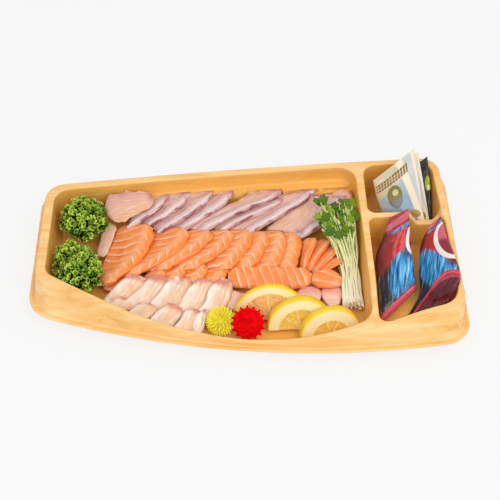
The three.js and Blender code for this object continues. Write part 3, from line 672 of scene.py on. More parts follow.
FLOUNDER_BACK = row(
    name="flounder_back", side=-1, slope=0.22, thick=3.6, bevel=4, lean=0.5, skew=0.1, round=1.5, width=21,
    reach=(7, 3), tip=9, stray=3.4, wave=1.4, height=lambda x, y: 16.8 + 0.33 * (y + 36) + 0.02 * (x + 70),
    ridges=(((-28, -32, -41), -39, -60, (14, 15, 14)), ((-46, -51, -60), -37.5, -57),
            ((-65, -71, -79), -35.5, -53.5), ((-84, -90, -99), -34.5, -50.5),
            ((-103, -110, -118), -32.5, -46.5)))
FLOUNDER_FRONT = row(
    name="flounder_front", side=-1, slope=0.2, thick=3.4, bevel=3.5, lean=0.5, skew=0.1, round=1.5, width=17,
    reach=(4, 1.5), tip=7, stray=2.6, wave=1.2, height=lambda x, y: 12.3 + 0.26 * (y + 51.5 + 0.19 * (x + 112)),
    ridges=(((-40, -41, -43), -65, -77.5, (6, 6, 6)), ((-52, -55, -60), -61.5, -77),
            ((-70, -75, -81), -58, -72), ((-90, -95, -100), -55, -65), ((-111, -114, -117), -51.6, -56.5)))
# Slices that lie alone: a spine of three points, the width at each, thickness and roll in degrees.
SALMON_SINGLES = dict(
    salmon_tongue_1=(((-120, -29, 5.5), (-107, -28.5, 7.5), (-94, -27, 9.2)), (7, 8, 6), 4, 10),
    salmon_long=(((-15, -24, 12.2), (18, -25, 12.6), (52, -26, 12)), (15, 18, 15), 5.6, 22),
    salmon_end=(((54, -27.5, 13.5), (66, -28, 14), (78, -28.5, 12)), (12, 15, 12), 5, 14))
MULLET_SINGLES = dict(
    mullet_flat_left=(((-120, 42, 22), (-105, 46, 24.5), (-86, 50, 26.5)), (17, 22, 15), 2.6, 16),
    mullet_edge_left=(((-124.5, 2, 11), (-121, 17, 12.5), (-118, 31, 13.5)), (7, 9, 8), 2.8, 0),
    mullet_flat_right=(((74.5, 59, 19), (81, 60, 19.8), (89.5, 61, 20)), (8, 11, 9), 3, 6))
BELLY_SINGLES = dict(
    belly_by_lemon_1=(((-9, -36.5, 7.4), (-10, -45, 5.8), (-11.5, -53.5, 4)), (17, 16, 11), 2.8, -16),
    belly_by_lemon_2=(((42, -43, 7.4), (51.5, -41.5, 7.8), (60.5, -42.5, 7.6)), (12, 16, 13), 3.4, 4),
    belly_by_lemon_3=(((62.5, -42.5, 7.6), (70, -41.5, 8), (78, -43, 7.2)), (13, 17, 13), 3.4, 4))
# The fan of four slices: its hub, how far out they reach, first angle and spread, and each slice's form.
FAN = Form(x=40, y=-38, inner=25, outer=(55.5, 58, 55.5, 49), start=75.5, spread=11.5,
           heights=(8.5, 13.5, 14.5), width=(5.2, 9.8, 15.5), thick=3.1, roll=-28)
# How many sheets of fat a lone slice crosses per mm across and per mm along, and how much they splay.
CROSSINGS = dict(salmon_long=(0.05, 0.14, 0.022), salmon_tongue_1=(0.1, 0.06, 0), salmon_end=(0.13, 0.03, 0.01))
FAN_CROSSING = (0.13, 0.02, 0)
# The rings that close a slice's end, each as a share of its last section.
CAP_SHARES = (0.96, 0.8, 0.5, 0.2)
# How far a lone slice runs on past its spine, as a share of the spine.
OVERRUN = 0.02


class Ridge:
    """One ridge of a row, followed by lines that run across the row."""

    def __init__(self, row, x, back, front, widths=None, lift=0.0):
        self.x, self.lean, self.lift = x, row.lean, lift
        self.widths = widths or (row.width,) * 3
        self.back, self.front = back + row.skew * x[0], front + row.skew * x[2]

    def x_at(self, line):
        u = np.clip((line - self.back) / (self.front - self.back), 0, 1)
        return through_three(self.x, u) + (line - lerp(self.back, self.front, u)) * self.lean


def slice_profile(w, bevel, t, drop):
    """A slice's cut outline as (sideways, up), from its hidden edge over its ridge and back."""
    return np.array([
        (-w, -t * 0.5), (-w + 1.2, -drop - t * 0.12), (-w + 3, -drop), (-w * 0.62, 0.12 - drop),
        (-w * 0.3, 0.28 - drop), (-bevel * 0.3, 0.5 - drop), (bevel * 0.14, 0.16 - drop * 0.9 - t * 0.04),
        (bevel * 0.5, -t * 0.3 - drop * 0.6), (bevel * 0.78, -t * 0.52 - drop * 0.3), (bevel * 0.95, -t * 0.8),
        (bevel * 0.88, -t * 0.96), (bevel * 0.6, -t), (-w * 0.4, -t), (-w + 1.5, -t), (-w + 0.3, -t * 0.85),
    ])


def closed_samples(points, count):
    """Evenly spaced points on the closed smooth curve through the points."""
    t = np.linspace(0, 1, 12, endpoint=False)[:, None]
    dense = [spline(*np.roll(points, 1 - i, axis=0)[:4], t) for i in range(len(points))]
    closed = np.vstack(dense + [dense[0][:1]])
    lengths = np.concatenate([[0], np.cumsum(np.linalg.norm(np.diff(closed, axis=0), axis=1))])
    u = np.linspace(0, lengths[-1], count, endpoint=False)
    return np.column_stack([np.interp(u, lengths, closed[:, k]) for k in (0, 1)])


def closed_tube(name, rings, uv, flakes):
    """A closed mesh through rings of points, with each end filled by shrinking rings. Its share runs from
    0 to 1 along it, and its flake counts its sheets of fat."""
    def cap(ring, beyond):
        middle, push = ring.mean(axis=0), (ring - beyond).mean(axis=0) * 0.35
        return [middle + (ring - middle) * share + push * (1 - share) for share in CAP_SHARES]

    def with_caps(values):
        return np.concatenate([values[0]] * k + list(values) + [values[-1]] * k)

    n, k = len(rings[0]), len(CAP_SHARES)
    count = len(rings) + 2 * k
    points = np.vstack(cap(rings[0], rings[1])[::-1] + rings + cap(rings[-1], rings[-2]))
    faces = grid_faces(count, n, closed=True) + [tuple(range(n)), tuple(range((count - 1) * n, count * n))]
    values = dict(share=np.clip((np.repeat(np.arange(count), n) - k) / (len(rings) - 1), 0, 1))
    if flakes:
        values["flake"] = with_caps(flakes)
    return turn_outward(mesh_from(name, points, faces, uv=with_caps(uv), **values))


def pillowed(flake):
    """How far a flake of muscle swells between its two sheets of fat, from 0 to 1."""
    return np.abs(np.sin(np.pi * flake)) ** 0.7


# How far a slice stays off the tray, and how much of what would sink into it still does.
OFF_TRAY = 0.6
PRESSED = 0.05


def kept_clear(x, y, z):
    """Points of a slice, with what would sink into the tray pressed flat on its levels or front wall."""
    plan, radius = MAIN_PLAN, FOOT_FILLET[-1][0]
    share = (x - plan.left) / (plan.right - plan.left)
    edge = lerp(plan.front_left, plan.front_right, share) - plan.bow * 4 * share * (1 - share)
    top, low = crest_height(x, edge) - RIM_FILLET[-1][1], FLOOR + FOOT_FILLET[0][1]
    lean = DRAFT * (CREST - z) * np.clip((top - z) / (top - low), 0, 1)
    wall = edge + lean + radius - np.sqrt(radius ** 2 - np.clip(low - z, 0, radius) ** 2) + OFF_TRAY
    y = np.where(y < wall, lerp(wall, y, PRESSED), y)
    level = main_level(x, y) + OFF_TRAY
    return y, np.where(z < level, lerp(level, z, PRESSED), z)


def row_meshes(row, cuts, around):
    """The slices of one row as smooth, uneven meshes with (across, along) as UV, in metres. A row whose
    flesh comes apart in flakes also swells between its sheets of fat."""
    spacing, climb, scallop = row.flakes
    ridges = [Ridge(row, *values) for values in row.ridges]
    fold = -0.45 * row.bevel
    for j, ridge in enumerate(ridges):
        rings, pairs, counts = [], [], []
        chooser = random.Random(f"{row.name}{j}")
        back = ridge.back + row.reach[0] + chooser.uniform(-1, 1.5)
        front = ridge.front - row.reach[1] - chooser.uniform(-1.5, 1.5)
        for k in range(cuts + 1):
            line = lerp(front, back, k / cuts)
            pitch = row.side * (ridges[j + 1].x_at(line) - ridge.x_at(line)) if ridges[j + 1:] else math.inf
            t = min(row.thick, pitch * row.slope + 0.3)
            rounding = (1 - min(1, min(k, cuts - k) / cuts * (back - front) / row.tip)) ** 2
            w = through_three(ridge.widths, 1 - k / cuts) * (1 - 0.3 * rounding)
            a, h = closed_samples(slice_profile(w, row.bevel, t, t * 0.4 * rounding), around).T
            bow = row.round * (1 - ((2 * a + w) / (w + 2 * row.bevel)) ** 2) * (2 * k / cuts - 1)
            own = line + bow - row.shear * (np.clip(a, -8, row.bevel) + 2)
            sway = noise.noise(Vector((line / 13.0, j * 3.7, row.width)))
            outer = np.clip((a - fold) / row.bevel, 0, 1)
            a = a + (row.stray * sway - 2.5 * rounding) * outer
            top = np.clip(1 + h / t * 1.5, 0, 1)
            if spacing:
                share = np.clip((a + w) / (w + fold), 0, 1)
                flake = (own - climb * share ** 2.2 + 1.3 * np.maximum(a - fold, 0)) / spacing
                place = np.column_stack([a + 40 * j, own])
                flake = flake + 0.5 * ripple(place, 19, j * 5.0)
                flake = flake + 0.16 * ripple(place, 6, j * 3.0)
                a = a + scallop * (pillowed(flake) - 0.5) * outer
                h = h + 0.22 * (pillowed(flake) - 0.5) * top
                counts.append(flake)
            x = ridge.x_at(own) + row.side * a
            y = own - row.skew * x
            plan = np.column_stack([x, y])
            wave = row.wave * (ripple(plan, 13, 1.0 + j) + 0.45 * ripple(plan, 5.5, 2.0 + j)) * top
            z = row.height(x, y) + a * row.slope + h + wave + ridge.lift * np.clip(-a / w, 0, 1) ** 1.5
            rings.append(np.column_stack([x, *kept_clear(x, y, z)]))
            pairs.append(np.column_stack([a, own]) * MM)
        name = f"{row.name}_{j + 1}"
        yield name, closed_tube(name, rings, pairs, counts)


def fan_slices():
    """The spines of the fan, each rising from the fan's hub outwards."""
    for k, outer in enumerate(FAN.outer):
        angle = math.radians(FAN.start - k * FAN.spread)
        radii = (FAN.inner, (FAN.inner + outer) / 2, outer)
        spine = [(FAN.x + radius * math.cos(angle), FAN.y + radius * math.sin(angle), z)
                 for radius, z in zip(radii, FAN.heights)]
        yield f"salmon_fan_{k + 1}", (spine, FAN.width, FAN.thick, FAN.roll)


def slab_mesh(name, spine, width, thick, roll, cuts, around, flakes, ragged, wider, overrun=OVERRUN):
    """One slice along its spine, its left side high; UV is (across, along) in metres. flakes is one of the
    crossings, ragged how uneven its edge is, and wider how much wider it is than its solid."""
    spine = np.array(spine, dtype=float)
    rings, pairs, counts = [], [], []
    length, tilt = np.linalg.norm(spine[2] - spine[0]), math.radians(roll)
    half_profile = [(-0.93, 0.3), (-0.72, 0.5), (-0.3, 0.56), (0.3, 0.55), (0.72, 0.5), (0.93, 0.3), (1, 0)]
    under = [(0.93, -0.3), (0.72, -0.5), (0, -0.5), (-0.72, -0.5), (-0.93, -0.3)]
    outline = closed_samples(np.array([(-1, 0)] + half_profile + under), around)
    for k in range(cuts + 1):
        u = lerp(-overrun, 1 + overrun, k / cuts)
        at = through_three(spine, u)
        ahead = through_three(spine, u + 0.01) - at
        across = np.array((-ahead[1], ahead[0], 0))
        across /= np.linalg.norm(across)
        to_end = max(0, min(u, 1 - u) + overrun - OVERRUN) * length
        narrow = 1 - 0.4 * (1 - min(1, to_end / 5)) ** 2
        t = thick * (1 - 0.4 * (1 - min(1, to_end / 3)) ** 2)
        a, h = outline[:, 0] * (through_three(width, u) / 2 * narrow), outline[:, 1] * t
        along = u * length
        edges = np.column_stack([np.sign(a) * 30 + at[0], np.full(len(a), at[1])])
        a = a * (1 + ragged * (0.14 * ripple(edges, 11, 4.0) + 0.06 * ripple(edges, 4, 2.0))) * wider
        if flakes:
            flake = a * flakes[0] + along * flakes[1] + flakes[2] * a * (u - 0.45)
            flake = flake + 0.35 * ripple(np.column_stack([a + at[0], a + at[1]]), 14, 6.0)
            h = h + 0.15 * (pillowed(flake) - 0.5) * np.clip(h / t * 3, 0, 1)
            counts.append(flake)
        sideways, up = a * math.cos(tilt) - h * math.sin(tilt), a * math.sin(tilt) + h * math.cos(tilt)
        ring = at + across * sideways[:, None] + np.array((0, 0, 1)) * up[:, None]
        ring[:, 2] += 0.6 * ripple(ring[:, :2], 9, 3.0) * narrow
        rings.append(ring)
        pairs.append(np.column_stack([a, np.full(len(a), along)]) * MM)
    return closed_tube(name, rings, pairs, counts)


# ---- flesh ----
def finish_flesh(material, node, colour, fine, coarse):
    """Soft muscle that light enters a little way, with a film of water on its cut face, fibres in relief
    and soft hollows a few millimetres wide."""
    look = {"Roughness": 0.34, "IOR": 1.38, "Subsurface Weight": 0.25, "Subsurface Scale": 0.003,
            "Subsurface Radius": (1.0, 0.5, 0.3), "Coat Weight": 0.45, "Coat Roughness": 0.12}
    relief = node("Math", (coarse, 3.0, fine), operation="MULTIPLY_ADD")
    return finished(material, node, colour, look, relief, 0.45, 0.0005)


def salmon_flesh(name, settings, rim):
    """Salmon muscle: flakes between sheets of white fat, each paler where it begins. rim is how far from its
    middle, in metres, a slice's rounded edge lies, where a highlight is painted on its crest and shade just
    past it."""
    material, node, across, _, own = mapped_material(name)
    fat, base = settings.salmon_fat, settings.salmon
    fine, mid, broad = [node("TexNoise", {"Vector": own, "Scale": scale, "Detail": detail})
                        for scale, detail in ((260.0, 2.0), (120.0, 2.0), (45.0, 1.0))]
    flake = node("Attribute", out="Fac", attribute_name="flake")
    flake = node("Math", (node("Math", (fine, 0.2, flake), operation="MULTIPLY_ADD"),), operation="FRACT")
    bands = node("ValToRGB", (flake,), stops=(
        (0.0, fat), (0.02, fat), (0.12, "#fba873"), (0.4, base), (0.68, base), (0.88, settings.salmon_deep),
        (0.945, "#fbb184"), (0.985, fat), (1.0, fat)))
    # a painted highlight along the crest of the rounded edge, then painted shade where the edge turns under
    reach = node("MapRange", (across, rim - 0.005, rim + 0.009))
    pale = node("ValToRGB", (reach,), stops=[(place, (v, v, v, 1)) for place, v in (
        (0.0, 0), (0.1, 0.02), (0.26, 0.5), (0.5, 0.45), (0.66, 0))])
    # here and there a sheet is too thin to show; the last two fields paint a highlight on the ridge's crest and
    # shade where it turns under
    colour = layered(node, bands, (node("MapRange", (broad, 0.46, 0.64, 0.0, 0.65)), base),
                     (node("MapRange", (mid, 0.5, 0.75, 0.0, 0.5)), "#fcb27a"), (pale, "#fdbf88"),
                     (node("MapRange", (reach, 0.66, 0.85, 0.0, 0.85)), "#f8862a"))
    return finish_flesh(material, node, colour, fine, mid)


def long_muscle_flesh(name, bands, tips, tip_colour, streak, blood=None):
    """White-fleshed fish sliced along its muscle: colour changes across the slice, with stained tips.
    bands are (distance from the hidden edge to the free edge in metres, colour); tips are the share of
    the length where the stain starts at the front and at the back; streak is the colour of pale fibres."""
    material, node, across, along, own = mapped_material(name)
    broad, mid = [node("TexNoise", {"Vector": own, "Scale": scale, "Detail": detail})
                  for scale, detail in ((60.0, 2.0), (150.0, 3.0))]
    # muscle fibres about 1 mm wide that run along the slice
    fibre = node("Mapping", {"Vector": node("CombineXYZ", (across, along)), "Scale": (650, 80, 1)})
    fibre = node("TexNoise", {"Vector": fibre, "Scale": 1.0, "Detail": 3.0})
    place = node("Math", (broad, 0.009, across), operation="MULTIPLY_ADD")
    place = node("Math", (fibre, 0.006, place), operation="MULTIPLY_ADD")
    first, last = bands[0][0], bands[-1][0]
    colour = node("ValToRGB", (node("MapRange", (place, first + 0.0075, last + 0.0075)),),
                  stops=[((at - first) / (last - first), shade) for at, shade in bands])
    fields = [(node("MapRange", (fibre, 0.5, 0.68, 0.0, 0.9)), node("MapRange", (broad, 0.36, 0.52)), streak)]
    share = node("Attribute", out="Fac", attribute_name="share")
    wander = node("Math", (broad, 0.35, share), operation="MULTIPLY_ADD")
    for start, end in ((tips[0] + 0.175, tips[0] + 0.02), (tips[1] + 0.175, tips[1] + 0.33)):
        fields.append((node("MapRange", (wander, start, end, 0.0, 0.9)), node("MapRange", (mid, 0.38, 0.55)),
                       tip_colour))
    if blood:
        clots = node("TexNoise", {"Vector": own, "Scale": 85.0, "Detail": 3.0})
        ends = [node("MapRange", (place, *reach)) for reach in ((0.0088, 0.0098), (0.0128, 0.0115))]
        line = node("Math", ends, operation="MULTIPLY")
        fields.append((node("MapRange", (clots, 0.5, 0.58, 0.0, 0.75)), line, blood))
    return finish_flesh(material, node, layered(node, colour, *fields), fibre, mid)


class MESH_OT_sashimi_salmon(bpy.types.Operator):
    """Build the salmon: two rows of slices, a fan and the slices that lie alone"""
    bl_idname = "mesh.sashimi_salmon"
    bl_label = "Salmon"

    def execute(self, context):
        settings = context.scene.sashimi_fish
        row_flesh = salmon_flesh("Raw salmon, stacked", settings, -0.0025)
        lone_flesh = salmon_flesh("Raw salmon, laid flat", settings, 0.02)
        for row in (SALMON_BACK, SALMON_FRONT):
            for name, mesh in row_meshes(row, settings.lengthwise, 52):
                piece(f"{name}_slice", mesh, [row_flesh], name, "salmon")
        for name, form in {**SALMON_SINGLES, **dict(fan_slices())}.items():
            ragged, wider = 1.3, 1.5 if name == "salmon_tongue_1" else 1.14
            mesh = slab_mesh(name, *form, settings.lengthwise, 40, CROSSINGS.get(name, FAN_CROSSING), ragged,
                             wider)
            piece(f"{name}_slice", mesh, [lone_flesh], name, "salmon")
        return {"FINISHED"}


class MESH_OT_sashimi_mullet(bpy.types.Operator):
    """Build the mullet slices with their dark bloodline, and the pink belly slices"""
    bl_idname = "mesh.sashimi_mullet"
    bl_label = "Mullet and belly"

    def execute(self, context):
        settings = context.scene.sashimi_fish
        whole = long_muscle_flesh("Raw mullet", (
            (-0.034, "#e6b294"), (-0.016, "#e6b4a2"), (-0.0115, "#d9a59a"), (-0.0095, "#bd9090"),
            (-0.008, settings.mullet), (-0.001, "#e9d3cf"), (0.002, settings.mullet), (0.0034, "#bf8f94"),
            (0.006, "#deafa2")), (0.05, 0.86), "#b8606a", "#eedad5", settings.bloodline)
        for name, mesh in row_meshes(MULLET, settings.lengthwise, 48):
            piece(f"{name}_slice", mesh, [whole], name, "mullet")
        thin = long_muscle_flesh("Raw mullet, thin", (
            (-0.012, "#e4aa80"), (-0.003, "#e8b898"), (0.003, "#e5ae98"), (0.012, "#cf958a")), (0.05, 0.9),
            "#b9525a", "#eed0c0")
        belly = long_muscle_flesh("Raw belly", (
            (-0.009, "#f3b9a0"), (-0.002, "#f6cbb8"), (0.003, "#efa896"), (0.009, "#e6907f")), (0.1, 0.85),
            "#df5a60", "#fbe3d8")
        # how ragged, how much wider and how far past its spine each is
        for singles, flesh, slot, edges in ((MULLET_SINGLES, thin, "mullet", (1.5, 1.32, 0.09)),
                                            (BELLY_SINGLES, belly, "belly", (1.6, 1.36, OVERRUN))):
            for name, form in singles.items():
                edge = (2.4, 1.16, 0.09) if name == "mullet_flat_left" else edges
                mesh = slab_mesh(name, *form, settings.lengthwise, 36, None, *edge)
                piece(f"{name}_slice", mesh, [flesh], name, slot)
        return {"FINISHED"}


class MESH_OT_sashimi_flounder(bpy.types.Operator):
    """Build the two tiers of white fish slices"""
    bl_idname = "mesh.sashimi_flounder"
    bl_label = "White fish"

    def execute(self, context):
        settings = context.scene.sashimi_fish
        # the near-white band just past the ridge, at 1.5 mm, is a painted highlight on the rounded edge
        flesh = long_muscle_flesh("Raw white fish", (
            (-0.021, "#e9b184"), (-0.012, "#ecc09a"), (-0.006, settings.flounder), (-0.001, "#f3ddc8"),
            (0.0015, "#fdf6f0"), (0.003, "#efd0b8"), (0.006, "#e3ab88")), (0.16, 0.74), "#d47a66", "#fdf4ea")
        for row in (FLOUNDER_BACK, FLOUNDER_FRONT):
            for name, mesh in row_meshes(row, settings.lengthwise, 48):
                piece(f"{name}_slice", mesh, [flesh], name, "flounder")
        return {"FINISHED"}


# ---- lemon ----
LEMONS = dict(
    lemon_back=Form(radius=32, thick=5.5, x=20, y=-59, lean=66, yaw=-2, pith=0.20,
                    flesh=("#f3ab52", "#fbc67e")),
    lemon_middle=Form(radius=28, thick=8, x=43.5, y=-66.5, lean=68, yaw=4, pith=0.30,
                      flesh=("#e8b636", "#f5d068")),
    lemon_right=Form(radius=26, thick=7.5, x=67, y=-74, lean=70, yaw=11, pith=0.38,
                     flesh=("#e8b636", "#f5d068")))
SEGMENTS = 5


def placed(points, form, z=None):
    """Points leant back round x, then turned round z, then moved, as the solid model does."""
    turned = Matrix.Rotation(math.radians(form.yaw), 3, "Z") @ Matrix.Rotation(math.radians(form.lean), 3, "X")
    return np.array(points) @ np.array(turned).T + np.array((form.x, form.y, form.z if z is None else z))


def lemon_mesh(name, form, seed):
    """A half slice: membranes stand up a little from the flesh, and the peel has pores."""
    radius, low, high = form.radius, -0.8, form.thick - 0.8
    around, radial = 96, 22
    points, pairs = [], []
    shares = [k / radial for k in range(radial + 1)]
    rim = ((radius - 0.25, high - 0.2), (radius, high - 0.7), (radius, low + 0.7), (radius - 0.3, low + 0.2))
    for i in range(around + 1):
        angle = math.pi * i / around
        near = abs((angle / math.pi * SEGMENTS + 0.35 + seed) % 1 - 0.5) * 2
        column = []
        for s in shares:
            flesh = smooth((s - 0.1) / 0.1) * smooth((0.95 - form.pith - s) / 0.05)
            wall = math.exp(-((1 - near) * s * radius / 1.1) ** 2)
            column.append((s * (radius - 0.7), high - 0.5 * float(flesh) * (1 - wall), True))
        column += [(r, z, False) for r, z in rim] + [(s * (radius - 0.7), low, True) for s in shares[::-1]]
        for r, z, inside in column:
            uneven = 1 - 0.012 + 0.012 * math.sin(SEGMENTS * angle + seed)
            x, y = r * uneven * math.cos(angle), max(0, r * uneven * math.sin(angle))
            points.append((x, y, z))
            pairs.append((x / radius, y / radius) if inside else (angle * radius * MM, z * MM))
    n = len(points) // (around + 1)
    faces = grid_faces(around + 1, n, closed=True)
    faces += [tuple(range(n)), tuple(range(around * n, (around + 1) * n))]
    mesh = mesh_from(name, placed(points, form, REST + 0.3), faces, uv=pairs)
    peel = set(range(radial, radial + 6))
    for polygon in mesh.polygons:
        is_peel = len(polygon.vertices) == 4 and {v % n for v in polygon.vertices} <= peel
        polygon.material_index = int(is_peel)
    return turn_outward(mesh, weld=1e-6)


def lemon_flesh(name, pith, inner, outer):
    """Cut citrus: wet juice cells that let light through, between matt white membranes and pith."""
    material, node = new_material(name)
    place = node("UVMap", uv_map="UVMap")
    own = node("TexCoord", out="Object")
    axes = node("SeparateXYZ", (place,)).node.outputs
    radius = node("VectorMath", (place,), out="Value", operation="LENGTH")
    angle = node("Math", (axes[1], axes[0]), operation="ARCTAN2")
    wander = node("TexNoise", {"Vector": own, "Scale": 120.0})
    part = node("Math", (wander, 0.25, angle), operation="MULTIPLY_ADD")
    part = node("Math", (part, SEGMENTS / math.pi), operation="MULTIPLY")
    # the distance to the nearest membrane
    part = node("Math", (node("Math", (part,), operation="FRACT"), 0.5), operation="SUBTRACT")
    part = node("Math", (0.5, node("Math", (part,), operation="ABSOLUTE")), operation="SUBTRACT")
    arc = node("Math", (part, radius), operation="MULTIPLY")
    wall = node("MapRange", (arc, 0.008, 0.034, 0.85, 0.0))
    rim = node("MapRange", (radius, 0.95 - pith, 0.975 - pith, 0.0, 1.0))
    heart = node("MapRange", (radius, 0.06, 0.13, 1.0, 0.0))
    white = node("Math", (node("Math", (wall, rim), operation="MAXIMUM"), heart), operation="MAXIMUM")
    cream = layered(node, "#fbedb8", (node("MapRange", (radius, 0.9, 0.965)), "#f8dc58"))
    # juice cells about 1.2 mm across that point to the middle
    cells = node("TexNoise", {"Vector": own, "Scale": 420.0})
    flesh = node("ValToRGB", (cells,), stops=((0.25, inner), (0.6, outer), (0.85, "#fae3a0")))
    return finished(material, node, layered(node, flesh, (white, cream)), {
        "Roughness": 0.32, "IOR": 1.36, "Subsurface Weight": 0.2, "Subsurface Scale": 0.003,
        "Subsurface Radius": (1.0, 0.7, 0.3), "Coat Weight": 0.3, "Coat Roughness": 0.1}, cells, 0.3, 0.0005)


def lemon_peel(settings):
    """Waxy citrus peel: satin sheen with oil pores about 0.8 mm apart."""
    material, node = new_material("Lemon peel")
    own = node("TexCoord", out="Object")
    pores = node("TexVoronoi", {"Vector": own, "Scale": 1250.0})
    colour = node("ValToRGB", (node("TexNoise", {"Vector": own, "Scale": 90.0}),),
                  stops=((0.3, "#f2c822"), (0.55, settings.lemon), (0.8, "#fbe268")))
    return finished(material, node, colour, {"Roughness": 0.4, "IOR": 1.45, "Subsurface Weight": 0.15,
                                             "Subsurface Scale": 0.002}, pores, 0.3, 0.0002)


class MESH_OT_sashimi_lemon(bpy.types.Operator):
    """Build the three half slices of lemon"""
    bl_idname = "mesh.sashimi_lemon"
    bl_label = "Lemon"

    def execute(self, context):
        peel = lemon_peel(context.scene.sashimi_garnish)
        for seed, (name, form) in enumerate(LEMONS.items()):
            flesh = lemon_flesh(f"Cut {name}", form.pith, *form.flesh)
            piece(f"{name}_slice", lemon_mesh(name, form, seed), [flesh, peel], name, "lemon")
        return {"FINISHED"}


# ---- flowers ----
RED_FLOWER = Form(radius=14.5, depth=8, x=0.5, y=-74, z=14, lean=38, yaw=4)
# Its tiers: share of the radius, teeth, what is left between them, height, thickness and turn.
RED_TIERS = ((1.0, 16, 0.5, 0.0, 2.6, 0.0), (0.86, 15, 0.45, 0.16, 2.0, 0.2), (0.68, 13, 0.45, 0.28, 1.8, 0.1),
             (0.48, 10, 0.45, 0.36, 1.5, 0.3), (0.28, 7, 0.4, 0.42, 1.2, 0.0))
YELLOW_FLOWER = Form(x=-23, y=-70, z=12.5, lean=30, yaw=-30)
GOLDEN_TURN = 2.39996


def toothed_disc(radius, teeth, left, level, thick, turn):
    """Points and faces of a thick disc whose rim is cut into squared teeth that widen outwards."""
    around, shares = teeth * 12, (0.12, 0.4, 0.66, 0.8, 0.88, 0.95, 1.0)
    points = []
    for side in (0.5, -0.5):
        for share in shares:
            for i in range(around):
                angle = 2 * math.pi * i / around
                tooth = smooth(0.5 + 1.6 * math.cos(teeth * angle))
                reach = radius * (share if share < 0.7 else lerp(0.7, share, left + (1 - left) * tooth))
                wider = 0.35 / teeth * math.sin(teeth * angle) * max(0.0, share - 0.75) / 0.25
                a = angle - wider + turn
                rim = 1 - 0.75 * max(0.0, (share - 0.8) / 0.2) ** 3
                wave = 0.5 * math.sin(teeth * angle * 0.5 + turn) * share
                z = level - 0.09 * radius * share ** 3 + wave + side * thick * rim
                points.append((reach * math.cos(a), reach * math.sin(a), z))
    tiers, size = len(shares), len(shares) * around
    faces = grid_faces(tiers, around, closed=True)
    faces += moved([face[::-1] for face in faces], size)
    for ring, flip in ((0, 1), (tiers - 1, -1)):
        for i in range(around):
            a, b = ring * around + i, ring * around + (i + 1) % around
            faces.append((a, b, b + size, a + size)[::flip])
    return points, faces


def dome(radius, height, around=24, tiers=6):
    """Points and faces of a closed dome with a rounded foot, centred on its own axis."""
    points = []
    for k in range(tiers + 1):
        a = lerp(-0.42 * math.pi, 0.44 * math.pi, k / tiers)
        for i in range(around):
            turn = 2 * math.pi * i / around
            points.append((radius * math.cos(a) * math.cos(turn), radius * math.cos(a) * math.sin(turn),
                           height * math.sin(a)))
    ends = [tuple(range(around)), tuple(range(tiers * around, (tiers + 1) * around))]
    return np.array(points), grid_faces(tiers + 1, around, closed=True) + ends


def red_flower_mesh():
    """Toothed tiers stacked into a low dome on a rounded base."""
    form = RED_FLOWER
    points, faces = [], []
    for share, teeth, left, level, thick, turn in RED_TIERS:
        made, rims = toothed_disc(form.radius * share, teeth, left, level * form.depth, thick, turn)
        faces += moved(rims, len(points))
        points += made
    base, rims = dome(0.62 * form.radius, 0.72 * form.depth)
    faces += moved(rims, len(points))
    points += [tuple(p) for p in base + (0, 0, -0.3 * form.depth)]
    return turn_outward(mesh_from("flower_red", placed(points, form), faces))


def yellow_petal_mesh():
    """One narrow petal that stands on its foot: a folded blade a few millimetres long."""
    rows, columns = 7, 3
    points = []
    for r in range(rows):
        u = r / (rows - 1)
        half = 0.35 + 0.4 * math.sin(math.pi * 0.6 * u)
        for c in range(columns):
            v = c / (columns - 1) * 2 - 1
            points.append((0.4 * (1 - abs(v)) + 1.3 * u * u, half * v, 9.4 * u - 0.6 * abs(v) * u ** 4))
    return mesh_from("petal", points, grid_faces(rows, columns))


def petal_ring_tree(material):
    """Places petals on a dome in a spiral, each leaning out more the further it is from the middle."""
    node, given, identifiers = geometry_tree("Petals on a dome", {
        "Petal": ("Object", None), "Petals": ("Int", 180), "Radius": ("Float", 0.0085),
        "Height": ("Float", 0.006)})
    index = node("InputIndex")
    share = node("Math", (index, given["Petals"]), operation="DIVIDE")
    root = node("Math", (share,), operation="SQRT")
    spin = node("Math", (index, GOLDEN_TURN), operation="MULTIPLY")
    reach = node("Math", (root, given["Radius"]), operation="MULTIPLY")
    seat = node("Math", (reach, 0.45), operation="MULTIPLY")
    x, y = [node("Math", (node("Math", (spin,), operation=wave), seat), operation="MULTIPLY")
            for wave in ("COSINE", "SINE")]
    low = node("Math", (share, given["Height"]), operation="MULTIPLY")
    place = node("CombineXYZ", (x, y, node("Math", (low, -0.55), operation="MULTIPLY")))
    spiral = node("SetPosition", {"Geometry": node("MeshLine", {"Count": given["Petals"]}), "Position": place})
    turn = node("CombineXYZ", {1: node("Math", (root, 1.6), operation="MULTIPLY"), 2: spin})
    petal = node("GeometryNodeObjectInfo", {"Object": given["Petal"]}, out="Geometry")
    petals = node("InstanceOnPoints", {"Points": spiral, "Instance": petal, "Rotation": turn})
    return close_tree(node, petals, material), identifiers


def petal_finish(name, light, base, deep):
    """Fresh petals: velvety cells that scatter light, their tone changing with fine veins."""
    material, node = new_material(name)
    # fine veins and cells about 1 mm apart
    veins = node("TexNoise", {"Vector": node("TexCoord", out="Object"), "Scale": 300.0, "Detail": 3.0})
    colour = node("ValToRGB", (veins,), stops=((0.3, deep), (0.52, base), (0.78, light)))
    return finished(material, node, colour, {
        "Roughness": 0.6, "IOR": 1.33, "Specular IOR Level": 0.08, "Subsurface Weight": 0.2,
        "Subsurface Scale": 0.001}, veins, 0.3, 0.0003)


